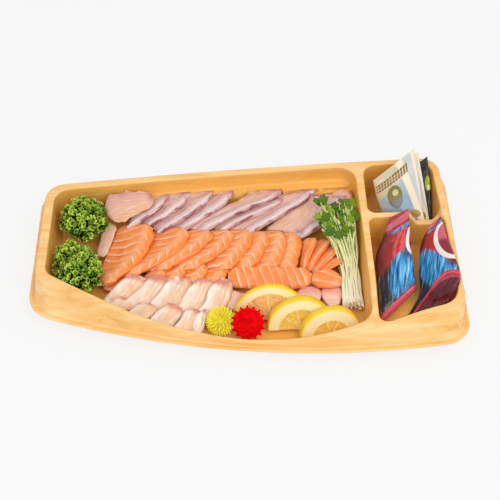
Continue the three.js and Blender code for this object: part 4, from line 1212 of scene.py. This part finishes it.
class MESH_OT_sashimi_flowers(bpy.types.Operator):
    """Build the red and the yellow flower"""
    bl_idname = "mesh.sashimi_flowers"
    bl_label = "Flowers"

    def execute(self, context):
        settings = context.scene.sashimi_garnish
        red = petal_finish("Red petals", "#f40a0e", settings.red_flower, "#c20006")
        piece("flower_red_petals", red_flower_mesh(), [red], "flower_red", "red_flower")

        yellow = petal_finish("Yellow petals", "#fff79a", settings.yellow_flower, "#f4d92c")
        petal = bpy.data.objects.new("petal", yellow_petal_mesh())
        petals = grown(mesh_from("petals", [(0, 0, 0)]), *petal_ring_tree(yellow), Petal=petal,
                       Petals=settings.petals)
        bpy.data.objects.remove(petal)
        tips = np.array([v.co[:] for v in petals.vertices]) / MM
        base, rims = dome(5.2, 3.4)
        points = np.vstack([tips + (0, 0, -1.0), base + (0, 0, -2.6)])
        faces = [tuple(polygon.vertices) for polygon in petals.polygons] + moved(rims, len(tips))
        mesh = mesh_from("flower_yellow", placed(points, YELLOW_FLOWER), faces)
        piece("flower_yellow_petals", mesh, [yellow], "flower_yellow", "yellow_flower")
        return {"FINISHED"}


# ---- parsley ----
PARSLEY = dict(
    parsley_upper=Form(centre=(-140, 30.5, 19), size=(21, 21.5, 17.5), slant=0.0, tufts=12, seed=1),
    parsley_lower=Form(centre=(-142, -22, 17), size=(21.5, 27.5, 15.5), slant=-0.5, tufts=13, seed=4))


def parsley_core(name, form):
    """The dense inner bush with a lump for each tuft, one closed surface."""
    work = bmesh.new()
    bmesh.ops.create_icosphere(work, subdivisions=5, radius=1)
    centre, size = np.array(form.centre), np.array(form.size)
    tufts = []
    for k in range(form.tufts):
        turn = k * 2.4 + form.seed
        up = 0.15 + 0.8 * (k + 0.5) / form.tufts
        reach = math.sqrt(1 - up * up)
        tufts.append((reach * math.cos(turn), reach * math.sin(turn), up))
    for vertex in work.verts:
        d = np.array(vertex.co)
        lobe = math.exp(-((1 - np.max(np.array(tufts) @ d)) / 0.06) ** 1.2)
        bumps = noise.noise(Vector(d * 4) + Vector((form.seed, 0, 0)))
        p = centre + size * d * (0.62 + 0.25 * lobe + 0.08 * bumps)
        p[2] = max(p[2], REST + 1)
        p[1] += form.slant * (p[0] - centre[0])
        vertex.co = Vector(p * MM)
    mesh = bpy.data.meshes.new(name)
    work.to_mesh(mesh)
    work.free()
    return mesh


def frill_mesh(seed):
    """One curled leaflet: an open fan whose rim is tightly waved. Its rim attribute is 1 at the rim, where the
    finish paints a highlight.
    """
    rows, columns = 2, 14
    points, rims = [], []
    for r in range(rows + 1):
        u = r / rows
        for c in range(columns):
            a = 2 * math.pi * c / columns
            wave = math.sin(a * 5 + seed) * u ** 1.5
            reach = 2.0 * u * (1 + 0.25 * math.cos(2 * a + seed * 2))
            points.append((reach * math.cos(a), reach * math.sin(a), 0.2 + 1.5 * u ** 1.3 + wave))
            rims.append(u)
    return mesh_from("frill", points, grid_faces(rows + 1, columns, closed=True), rim=rims)


def frill_tree(material):
    """Stands frills all over a surface, each turned, sized and set out from it at random. How far out each sits
    is kept as its tone, so that the finish paints the deeper frills darker, as shade.
    """
    node, given, identifiers = geometry_tree("Frills on a bush", {
        "Frill": ("Object", None), "Spacing": ("Float", 0.0021), "Seed": ("Int", 1), "Depth": ("Float", 0.0038),
        "Smallest": ("Float", 0.65), "Largest": ("Float", 1.3)})
    base, seed = given["Geometry"], given["Seed"]
    # none grow underneath, where the bush lies on the tray
    facing = node("SeparateXYZ", (node("InputNormal"),), out=2)
    upper = node("Compare", (facing, -0.3), data_type="FLOAT", operation="GREATER_THAN")
    scatter = node("DistributePointsOnFaces", {
        "Mesh": base, "Selection": upper, "Distance Min": given["Spacing"], "Density Max": 1000000.0,
        "Seed": seed}, distribute_method="POISSON")
    normal, rotation = [scatter.node.outputs[name] for name in ("Normal", "Rotation")]
    # how far out each frill sits, kept as its tone: the finish paints the deeper frills darker, as shade
    far = node("RandomValue", {"Seed": seed}, out=1, data_type="FLOAT")
    out = node("Math", (far, given["Depth"]), operation="MULTIPLY")
    shift = node("VectorMath", {0: normal, "Scale": out}, operation="SCALE")
    shade_by_depth = node("StoreNamedAttribute", {
        "Geometry": node("SetPosition", {"Geometry": scatter, "Offset": shift}), "Name": "tone", "Value": far},
        data_type="FLOAT", domain="POINT")
    spin = node("RandomValue", {0: (-0.8, -0.8, 0.0), 1: (0.8, 0.8, 6.283), "Seed": seed},
                data_type="FLOAT_VECTOR")
    turned = node("RotateRotation", {"Rotation": rotation, "Rotate By": spin}, rotation_space="LOCAL")
    size = node("RandomValue", {2: given["Smallest"], 3: given["Largest"], "Seed": seed}, out=1,
                data_type="FLOAT")
    frill = node("GeometryNodeObjectInfo", {"Object": given["Frill"]}, out="Geometry")
    frills = node("InstanceOnPoints", {"Points": shade_by_depth, "Instance": frill, "Rotation": turned, "Scale": size})
    # the bush itself has no rim or tone, so the finish paints it near-black, as shade deep inside
    joined = node("JoinGeometry", (base,))
    joined.id_data.links.new(frills, joined.node.inputs[0])
    return close_tree(node, joined, material), identifiers


def leaf_finish(name, light, base, deep, scale, weights):
    """Fresh leaf: waxy skin over soft green tissue. weights are how much a leaf's veins, its rim and its own
    tone lighten it, and what is taken off the sum. On parsley the lighter rims are a painted highlight and the
    tone, how far out a frill sits, paints shade on the deeper frills; on sprouts the tone differs at random."""
    material, node = new_material(name)
    veins = node("TexNoise", {"Vector": node("TexCoord", out="Object"), "Scale": scale, "Detail": 3.0,
                              "Roughness": 0.6})
    total = node("Math", (veins, weights[0], -weights[3]), operation="MULTIPLY_ADD")
    for attribute, weight in (("rim", weights[1]), ("tone", weights[2])):
        own = node("Attribute", out="Fac", attribute_name=attribute)
        total = node("Math", (own, weight, total), operation="MULTIPLY_ADD")
    colour = node("ValToRGB", (total,), stops=((0.12, deep), (0.55, base), (1.0, light)))
    return finished(material, node, colour, {
        "Roughness": 0.45, "IOR": 1.4, "Specular IOR Level": 0.15, "Coat Weight": 0.05,
        "Coat Roughness": 0.2}, veins, 0.3, 0.0004)


class MESH_OT_sashimi_parsley(bpy.types.Operator):
    """Build the two sprigs of curly parsley"""
    bl_idname = "mesh.sashimi_parsley"
    bl_label = "Parsley"

    def execute(self, context):
        settings = context.scene.sashimi_garnish
        # the near-black colour is painted shade in the gaps and on the bush inside; the light one is the
        # painted highlight on the frills' rims
        finish = leaf_finish("Curly parsley", "#d8ee62", settings.parsley, "#030a02", 260.0,
                             (0.6, 0.62, 0.6, 0.46))
        tree = frill_tree(finish)
        for name, form in PARSLEY.items():
            frill = bpy.data.objects.new("frill", frill_mesh(form.seed))
            sprig = grown(parsley_core(name, form), *tree, Frill=frill, Spacing=settings.frill_spacing,
                          Seed=form.seed)
            bpy.data.objects.remove(frill)
            piece(f"{name}_sprig", sprig, [finish], name, "parsley")
        return {"FINISHED"}


# ---- radish sprouts ----
def sprout_paths(count, seed):
    """Control points of each stem, from its foot at the front to its leaves at the back, in millimetres."""
    chooser = random.Random(seed)
    paths = []
    for k in range(count):
        spread = (k + chooser.random()) / count
        layer = chooser.random()
        foot = (lerp(80.5, 95.5, spread) + chooser.uniform(-2.6, 1.2), -45 - 9 * chooser.random(),
                REST + 1.0 + 6.5 * layer)
        low = (lerp(80, 93, spread) + chooser.uniform(-2.4, 1.6), -28 + chooser.uniform(-6, 6), 4 + 8.5 * layer)
        neck = (lerp(79.5, 91.5, spread) + chooser.uniform(-3.0, 2.2), -3 + chooser.uniform(-8, 8),
                7.5 + 9.5 * layer)
        reach = lerp(8, 47, (k * 0.618) % 1)
        side = np.clip(spread + chooser.uniform(-0.2, 0.2), 0, 1)
        tip = (lerp(63, 91.5, side) - 0.05 * (reach - 20), reach, 24 + 5.0 * chooser.random())
        before = (lerp(neck[0], tip[0], 0.62), lerp(neck[1], tip[1], 0.62),
                  max(20.5, lerp(neck[2], tip[2], 0.75)))
        paths.append((foot, low, neck, before, tip))
    return paths


def stems_base(paths, steps):
    """Edges along every stem, with the share of the way up kept as an attribute."""
    shares = [i / steps for i in range(steps + 1)]
    points = [curve_through(path, u) for path in paths for u in shares]
    edges = [(start + i, start + i + 1) for start in range(0, len(points), steps + 1) for i in range(steps)]
    return mesh_from("sprout_stems", points, edges=edges, share=shares * len(paths))


def stem_tree(material):
    """Round stems along edges, a little thinner towards the leaves."""
    node, given, identifiers = geometry_tree("Stems along paths", {
        "Foot radius": ("Float", 0.0009), "Tip radius": ("Float", 0.0006), "Sides": ("Int", 7)})
    share = node("InputNamedAttribute", {"Name": "share"}, data_type="FLOAT")
    radius = node("MapRange", {0: share, 3: given["Foot radius"], 4: given["Tip radius"]})
    lines = node("MeshToCurve", {"Mesh": given["Geometry"]})
    lines = node("SetCurveRadius", {"Curve": lines, "Radius": radius})
    section = node("CurvePrimitiveCircle", {"Resolution": given["Sides"], "Radius": 1.0})
    tubes = node("CurveToMesh", {"Curve": lines, "Profile Curve": section, "Fill Caps": True,
                                 "Scale": radius})
    return close_tree(node, tubes, material), identifiers


def seed_leaf_mesh():
    """One heart-shaped seed leaf, folded a little along its middle, with a notch at its tip."""
    rows, columns = 7, 7
    points = []
    for side in (0.16, -0.16):
        for r in range(rows):
            u = r / (rows - 1)
            half = 4.3 * math.sin(math.pi * min(1, 0.12 + 0.80 * u)) ** 0.75 if u < 1 else 2.6
            for c in range(columns):
                v = c / (columns - 1) * 2 - 1
                notch = 1.5 * u ** 4 * (1 - abs(v)) ** 1.5
                edge = 1 - 0.8 * max(abs(v) ** 4, u ** 8)
                points.append((9.2 * u - notch, half * v, 1.3 * abs(v) ** 1.4 + 1.6 * u * u + side * edge))
    return turn_outward(mesh_from("seed_leaf", points, two_sided(rows, columns)))


def leaf_tree(material):
    """Puts a leaf on each point, turned and sized by the point's own attributes."""
    node, given, identifiers = geometry_tree("Leaves on points", {
        "Leaf": ("Object", None), "Size": ("Float", 1.0)})
    turn = node("InputNamedAttribute", {"Name": "turn"}, data_type="FLOAT_VECTOR")
    own = node("InputNamedAttribute", {"Name": "size"}, data_type="FLOAT")
    leaf = node("GeometryNodeObjectInfo", {"Object": given["Leaf"]}, out="Geometry")
    leaves = node("InstanceOnPoints", {
        "Points": node("MeshToPoints", {"Mesh": given["Geometry"]}), "Instance": leaf, "Rotation": turn,
        "Scale": node("Math", (own, given["Size"]), operation="MULTIPLY")})
    return close_tree(node, leaves, material), identifiers


def leaves_base(paths, seed):
    """A point for each of a stem's two seed leaves, with its turn, size and tone."""
    chooser = random.Random(seed)
    points, turns, sizes, tones = [], [], [], []
    for path in paths:
        tip, before = np.array(path[-1]), np.array(path[-2])
        ahead = math.atan2(tip[1] - before[1], tip[0] - before[0])
        for side in (-1, 1):
            heading = ahead + side * chooser.uniform(0.5, 1.5)
            points.append(tip)
            turns.append((chooser.uniform(-0.5, 0.5), chooser.uniform(-0.45, 0.25), heading))
            sizes.append(chooser.uniform(0.65, 1.0))
            tones.append(chooser.random())
    return mesh_from("sprout_leaves", points, turn=turns, size=sizes, tone=tones)


def stem_finish():
    """Crisp white-green stems: watery and half clear, with a moist skin."""
    material, node = new_material("Sprout stems")
    own = node("TexCoord", out="Object")
    wander = node("TexNoise", {"Vector": own, "Scale": 160.0, "Detail": 2.0})
    place = node("Math", (wander, 0.02, node("SeparateXYZ", (own,), out=1)), operation="MULTIPLY_ADD")
    colour = node("ValToRGB", (node("MapRange", (place, -0.045, 0.045)),), stops=(
        (0.0, "#d4b888"), (0.1, "#faf5dc"), (0.45, "#f4f2c4"), (0.85, "#cfdc86")))
    return finished(material, node, colour, {
        "Roughness": 0.35, "IOR": 1.37, "Subsurface Weight": 0.15, "Subsurface Scale": 0.001,
        "Subsurface Radius": (1.0, 0.8, 0.4), "Coat Weight": 0.2, "Coat Roughness": 0.15})


class MESH_OT_sashimi_sprouts(bpy.types.Operator):
    """Build the bundle of radish sprouts"""
    bl_idname = "mesh.sashimi_sprouts"
    bl_label = "Radish sprouts"

    def execute(self, context):
        settings = context.scene.sashimi_garnish
        pale = stem_finish()
        green = leaf_finish("Sprout leaves", "#a6b942", settings.sprout_leaf, "#4f6f22", 120.0,
                            (0.5, 0.0, 0.6, 0.05))
        paths = sprout_paths(settings.stems, 5)
        piece("sprout_stems", grown(stems_base(paths, 16), *stem_tree(pale)), [pale], "sprouts", "sprouts")
        leaf = bpy.data.objects.new("seed_leaf", seed_leaf_mesh())
        leaves = grown(leaves_base(paths[::4], 9), *leaf_tree(green), Leaf=leaf)
        bpy.data.objects.remove(leaf)
        piece("sprout_leaves", leaves, [green], None, "sprouts")
        return {"FINISHED"}


# ---- packets and pouches ----
PACKETS = dict(
    packet_front=Form(left=((119, 45, 9), (112.5, 54, 24), (108.5, 62, 38.5)),
                      right=((152, 32.5, 20), (149, 60.5, 34.5), (145, 90, 49)), swell=3.2),
    packet_behind=Form(left=((122, 46, 4.5), (117, 56, 19.5), (113, 65, 34)),
                       right=((157.5, 34.5, 15), (153.5, 62.5, 30), (149, 91, 44.5)), swell=3),
    packet_dark=Form(left=((133, 47.5, 3.2), (131, 60, 14), (129, 72, 26)),
                     right=((161, 40, 8), (160, 63.5, 24.5), (157.5, 88.5, 41.5)), swell=2.2))
# The pouches also hold their print, in shares of a pouch's width and length: how far its strands slant,
# an oval pool and an oval curve (centre, size), and lines (see height_over) for the dark, head and foot.
POUCHES = dict(
    pouch_left=Form(left=((111, -67, 5), (108.5, -38, 10), (107.5, -9, 18), (114.5, 7, 28), (120, 19, 38.5)),
                    right=((140, -37, 11), (139.5, -22, 15), (138, -4, 22), (137, 12, 32), (136, 26, 42)),
                    swell=7, slant=0.6, rise=0.12, pool=(0.78, 0.2, 0.46, 0.22),
                    curve=(1.05, 0.62, 0.21, 0.17),
                    dark=(0.30, 0.28, 0.0), head=(0.77, 0.09, 0.0), foot=(-0.02, 0.03, 0.0), band=0.085),
    pouch_right=Form(left=((130, -63, 4.5), (142.5, -41, 8), (144, -18, 14), (146, 0, 23), (152.5, 13, 33.5)),
                     right=((163.5, -60, 24), (172, -49, 40.4), (170, -24, 40.4), (165.5, 0, 38.5),
                            (163, 19, 40)),
                     swell=7, slant=0.8, rise=-0.25, pool=(0.48, 0.55, 0.5, 0.19),
                     curve=(1.02, 0.7, 0.42, 0.24),
                     dark=(0.42, 0.0, 0.0), head=(0.86, 0.12, 0.0), foot=(-0.154, 1.135, -0.725), band=0.075))
# Share of a pack's length that each crimped seal takes, its ridges, and half the film's least thickness.
SEAL = 0.12
RIDGES = 4
THINNEST = 0.12


def pillow_mesh(name, form, rows, crinkle, seed, columns=60):
    """A filled packet: flat crimped seals at foot and head, and film that puckers towards them.
    Its UV runs across from 0 to 1 and from foot to head from 0 to 1."""
    above, beneath, pairs = [], [], []
    for k in range(rows + 1):
        u = k / rows
        step = 0.01 if u < 0.5 else -0.01
        a, b = curve_through(form.left, u), curve_through(form.right, u)
        a_next, b_next = curve_through(form.left, u + step), curve_through(form.right, u + step)
        ahead = (a_next - a + b_next - b) * np.sign(step)
        up = np.cross(b - a, ahead)
        up /= np.linalg.norm(up)
        to_end = min(u, 1 - u) / SEAL
        filled = math.sqrt(min(1, max(0, to_end - 0.6)))
        crimp = 0.22 * math.sin(u / SEAL * 2 * math.pi * RIDGES) if to_end < 0.75 else 0.0
        for i in range(columns + 1):
            v = i / columns
            at = lerp(a, b, v)
            puff = math.sqrt(max(0, 4 * v * (1 - v)))
            fold = noise.noise(Vector((v * 4.0 + seed, u * 7.0, 0.3)))
            fold += 0.5 * noise.noise(Vector((v * 8.0 + seed, u * 9.0, 2.3)))
            pucker = 0.6 * math.sin(v * 2 * math.pi * 4 + seed) * math.exp(-((to_end - 1.1) / 0.4) ** 2)
            uneven = filled * puff * crinkle * fold + 0.35 * pucker * puff * min(1, filled * 2)
            full = 0.5 * min(1, puff * 2.5) + form.swell / 2 * filled * puff
            above.append(at + up * (max(THINNEST, full + uneven) + crimp * min(1, puff * 2)))
            beneath.append(at - up * (max(THINNEST, full) - crimp * min(1, puff * 2)))
            pairs.append((v, u))
    return turn_outward(mesh_from(name, above + beneath, two_sided(rows + 1, columns + 1), uv=pairs * 2))


def between(node, value, low, high, soft):
    """Mask that is 1 where the value lies between low and high."""
    ends = [node("MapRange", (value, at - soft, at + soft, start, 1.0 - start))
            for at, start in ((low, 0.0), (high, 1.0))]
    return node("Math", ends, operation="MULTIPLY")


def height_over(node, u, v, line):
    """How far v lies above the line a + b u + c u u across the pack."""
    a, b, c = line
    bend = node("Math", (u, -c, -b), operation="MULTIPLY_ADD")
    return node("Math", (node("Math", (bend, u, v), operation="MULTIPLY_ADD"), a), operation="SUBTRACT")


def blob(node, u, v, centre, size, soft=0.15):
    """Mask of an oval field of print round a centre."""
    terms = []
    for value, middle, reach in zip((u, v), centre, size):
        away = node("Math", (value, middle), operation="SUBTRACT")
        terms.append(node("Math", (node("Math", (away, reach), operation="DIVIDE"), 2.0), operation="POWER"))
    return node("MapRange", (node("Math", terms, operation="ADD"), 1 - soft, 1 + soft, 1.0, 0.0))


def finish_film(material, node, own, colour, roughness):
    """Laminated packet film with a thin clear top: bright glints along its creases."""
    # dents in the film, about 8 mm across
    dents = node("TexNoise", {"Vector": own, "Scale": 130.0, "Detail": 2.0})
    return finished(material, node, colour, {
        "Roughness": roughness, "IOR": 1.5, "Specular IOR Level": 0.35, "Coat Weight": 0.25,
        "Coat Roughness": 0.05}, dents, 0.6, 0.0016)


def pale_packet_film(settings):
    """White laminated film printed with rows of gold, a gold and grey disc and a soft blue-grey field."""
    material, node, u, v, own = mapped_material("White laminated film")
    stripe = height_over(node, v, u, (1.06, -0.34, 0.0))
    beat = node("Math", (node("Math", (u, 15.0), operation="MULTIPLY"),), operation="FRACT")
    inked = node("Math", (between(node, beat, 0.1, 0.88, 0.06), between(node, u, 0.03, 0.78, 0.01)),
                 operation="MULTIPLY")
    rows = []
    for line, half in (((0.765, 0.13, 0.0), 0.026), ((0.70, 0.15, 0.0), 0.02), ((0.625, 0.2, 0.0), 0.024)):
        strip = between(node, height_over(node, u, v, line), -half, half, 0.006)
        rows.append((inked, strip, settings.gold))
    upper = node("MapRange", (height_over(node, u, v, (0.32, 0.12, 0.0)), -0.01, 0.01))
    colour = layered(
        node, settings.packet,
        (node("MapRange", (height_over(node, u, v, (0.43, 0.44, 0.0)), 0.01, -0.02)), "#a9b4bf"),
        (blob(node, u, v, (0.72, 0.2), (0.5, 0.26), 0.5), "#8fa9c4"),
        (between(node, stripe, -0.19, -0.03, 0.012), "#efe2c2"),
        (between(node, stripe, -0.03, 0.3, 0.012), "#c7c8c4"),
        (node("MapRange", (height_over(node, v, u, (1.02, -0.12, 0.0)), -0.012, 0.0)), "#e9ddc4"),
        (blob(node, u, v, (0.41, 0.42), (0.175, 0.22), 0.05), "#777c7b"),
        (blob(node, u, v, (0.41, 0.46), (0.17, 0.17), 0.06), upper, "#7d7322"),
        (blob(node, u, v, (0.43, 0.5), (0.07, 0.06), 0.3), "#cfc58c"),
        (blob(node, u, v, (0.8, 0.10), (0.15, 0.06), 0.15), "#b2924c"), *rows)
    return finish_film(material, node, own, colour, 0.3)


def dark_packet_film(settings):
    """Near-black laminated film with one small green and yellow mark."""
    material, node, u, v, own = mapped_material("Black laminated film")
    colour = layered(
        node, settings.dark_packet, (blob(node, u, v, (0.93, 0.62), (0.08, 0.11), 0.2), "#93a82a"),
        (blob(node, u, v, (0.95, 0.55), (0.05, 0.04), 0.3), "#dfe08a"),
        (between(node, v, 0.30, 0.36, 0.01), "#4a4238"))
    return finish_film(material, node, own, colour, 0.28)


def pouch_film(name, settings, form):
    """Glossy burgundy laminate: a white curve, a blue field streaked like water over black, and paler seals.
    Across the pouch the red is painted dark on its left flank, as shade, and bright right of its middle, as a
    highlight."""
    material, node, u, v, own = mapped_material(name)
    # across the pouch: painted shade on the left flank, a painted highlight at 0.72, and darker again towards
    # the right edge
    body = node("ValToRGB", (u,), stops=((0.0, "#4a0d12"), (0.2, "#7c1f1c"), (0.45, settings.pouch),
                                         (0.72, "#d01022"), (0.92, "#8a1c2a")))
    # strands that run up and to the right, like falling water
    swirl = node("CombineXYZ", (node("Math", (v, -form.slant, u), operation="MULTIPLY_ADD"), v))
    swirl = node("Mapping", {"Vector": swirl, "Scale": (19, 5, 1)})
    strands = node("TexNoise", {"Vector": swirl, "Scale": 1.0, "Detail": 4.0, "Distortion": 0.6})
    water = node("ValToRGB", (strands,), stops=(
        (0.32, "#0b1c2c"), (0.42, "#155a92"), (0.54, settings.pouch_blue), (0.64, "#74c4ec"),
        (0.74, "#e6f3f8")))
    shaded = node("ValToRGB", (strands,), stops=(
        (0.3, "#08090c"), (0.5, "#1b2026"), (0.6, "#4c5a66"), (0.72, "#c3cbd2")))
    wine = node("ValToRGB", (strands,), stops=((0.35, "#35060f"), (0.7, "#7b1a33")))
    curve, band = form.curve, form.band
    lifted = height_over(node, u, v, (0.0, form.rise, 0.0))
    inner = blob(node, u, v, (curve[0] + 0.06, curve[1]), (curve[2] * 0.8, curve[3] * 0.84), 0.05)
    to_foot, to_head = height_over(node, u, v, form.foot), height_over(node, u, v, form.head)
    below_curve = node("MapRange", (v, curve[1] + 0.02, curve[1] - 0.02))
    colour = layered(
        node, body, (node("MapRange", (height_over(node, u, v, form.dark), 0.03, -0.03)), shaded),
        (blob(node, u, lifted, form.pool[:2], form.pool[2:], 0.25), water),
        (blob(node, u, v, curve[:2], curve[2:], 0.03), "#ece6e0"), (inner, "#cf5d6c"),
        (inner, below_curve, "#8c2331"),
        (node("MapRange", (to_head, -0.006, 0.006)), "#a3192b"),
        (between(node, to_head, 0.03, 0.13, 0.008), "#c4616c"),
        (between(node, to_head, -0.055, -0.012, 0.008), node("MapRange", (u, 0.26, 0.32)), water),
        (node("MapRange", (to_foot, 0.006, -0.006)), wine),
        (between(node, to_foot, 0.0, band, 0.006), "#c02c3c"),
        # a lighter stripe inside the foot seal: a painted highlight along it
        (between(node, to_foot, band * 0.55, band * 0.8, 0.006), "#d85b68"))
    return finish_film(material, node, own, colour, 0.24)


class MESH_OT_sashimi_packs(bpy.types.Operator):
    """Build the three condiment packets and the two sauce pouches"""
    bl_idname = "mesh.sashimi_packs"
    bl_label = "Packets and pouches"

    def execute(self, context):
        settings = context.scene.sashimi_packs
        pale, dark = pale_packet_film(settings), dark_packet_film(settings)
        for seed, (name, form) in enumerate(PACKETS.items()):
            finish, slot = (dark, "dark_packet") if name == "packet_dark" else (pale, "packet")
            piece(f"{name}_film", pillow_mesh(name, form, 90, 0.35, seed), [finish], name, slot)
        for seed, (name, form) in enumerate(POUCHES.items()):
            red = pouch_film(f"Burgundy laminated film, {name.split('_')[1]}", settings, form)
            piece(f"{name}_film", pillow_mesh(name, form, 130, 0.9, seed + 5), [red], name, "pouch")
        return {"FINISHED"}


# ---- stage ----
FLOOR_REACH = 6000
BELOW = -0.4
# What the camera looks at, in millimetres, and the share of the frame's width that the picture is raised.
TARGET = (2, -10, 20)
RAISED = 8 / PICTURE_PIXELS
# The lamps: name, place and side in metres; each points at the middle of the scene.
LAMPS = (("key light", (0.7, -0.55, 1.2), 0.9), ("fill light", (-0.5, -0.9, 1.1), 0.7))


class MESH_OT_sashimi_stage(bpy.types.Operator):
    """Build the floor, the camera and the lights"""
    bl_idname = "mesh.sashimi_stage"
    bl_label = "Stage"

    def execute(self, context):
        scene, settings = context.scene, context.scene.sashimi_stage
        around = [(x * FLOOR_REACH, y * FLOOR_REACH, BELOW) for x, y in ((-1, -1), (1, -1), (1, 1), (-1, 1))]
        floor = added("floor", mesh_from("floor", around, [(0, 1, 2, 3)]))
        material, node = new_material("Matt paper backdrop")
        # the sheet glows a little, as a lit backdrop does, so shadows on it stay faint
        floor.data.materials.append(finished(material, node, (0.12, 0.12, 0.12, 1), {
            "Roughness": 0.9, "Specular IOR Level": 0.0, "Emission Color": settings.floor,
            "Emission Strength": settings.glow}))
        floor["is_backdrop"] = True

        lens = bpy.data.cameras.new("camera")
        lens.lens = settings.focal
        lens.sensor_width = SENSOR
        lens.shift_y = RAISED
        lens.clip_start = 0.01
        camera = added("camera", lens)
        back = Vector((0, -math.cos(settings.elevation), math.sin(settings.elevation)))
        camera.location = Vector(TARGET) * MM + back * settings.distance
        camera.rotation_euler = (math.pi / 2 - settings.elevation, 0, 0)
        scene.camera = camera

        world = bpy.data.worlds.new("studio")
        world.use_nodes = True
        sky = world.node_tree.nodes["Background"].inputs
        sky[0].default_value = (1, 1, 1, 1)
        sky[1].default_value = settings.sky
        scene.world = world
        for (name, place, side), power in zip(LAMPS, (settings.key, settings.fill)):
            light = bpy.data.lights.new(name, "AREA")
            light.shape = "SQUARE"
            light.size = side
            light.energy = power
            lamp = added(name, light)
            lamp.location = place
            lamp.rotation_euler = (-Vector(place)).to_track_quat("-Z", "Y").to_euler()
        scene.view_settings.view_transform = "Standard"
        return {"FINISHED"}


class VIEW3D_PT_sashimi(bpy.types.Panel):
    """Buttons for each piece of the sashimi plate"""
    bl_idname = "VIEW3D_PT_sashimi"
    bl_label = "Sashimi plate"
    bl_space_type = "VIEW_3D"
    bl_region_type = "UI"
    bl_category = "Sashimi"

    def draw(self, context):
        for operator in OPERATORS:
            self.layout.operator(operator.bl_idname)
        for name in SETTINGS:
            box = self.layout.box()
            group = getattr(context.scene, name)
            for key in group.bl_rna.properties.keys():
                if key not in ("rna_type", "name"):
                    box.prop(group, key)


SETTINGS = dict(sashimi_tray=TraySettings, sashimi_fish=FishSettings, sashimi_garnish=GarnishSettings,
                sashimi_packs=PackSettings, sashimi_stage=StageSettings)
OPERATORS = (MESH_OT_sashimi_tray, MESH_OT_sashimi_salmon, MESH_OT_sashimi_mullet, MESH_OT_sashimi_flounder,
             MESH_OT_sashimi_lemon, MESH_OT_sashimi_flowers, MESH_OT_sashimi_parsley, MESH_OT_sashimi_sprouts,
             MESH_OT_sashimi_packs, MESH_OT_sashimi_stage)
CLASSES = tuple(SETTINGS.values()) + OPERATORS + (VIEW3D_PT_sashimi,)


def register():
    for made in CLASSES:
        bpy.utils.register_class(made)
    for name, group in SETTINGS.items():
        setattr(bpy.types.Scene, name, PointerProperty(type=group))


def unregister():
    for name in SETTINGS:
        delattr(bpy.types.Scene, name)
    for made in reversed(CLASSES):
        bpy.utils.unregister_class(made)


def corners(box):
    return [[float(v) for v in corner] for corner in box]


def main():
    register()
    bpy.ops.mesh.sashimi_tray()
    bpy.ops.mesh.sashimi_salmon()
    bpy.ops.mesh.sashimi_mullet()
    bpy.ops.mesh.sashimi_flounder()
    bpy.ops.mesh.sashimi_lemon()
    bpy.ops.mesh.sashimi_flowers()
    bpy.ops.mesh.sashimi_parsley()
    bpy.ops.mesh.sashimi_sprouts()
    bpy.ops.mesh.sashimi_packs()
    bpy.ops.mesh.sashimi_stage()
    {"cad": corners(CAD_BOX), "visual": corners(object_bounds())}


if __name__ == "__main__":
    main()
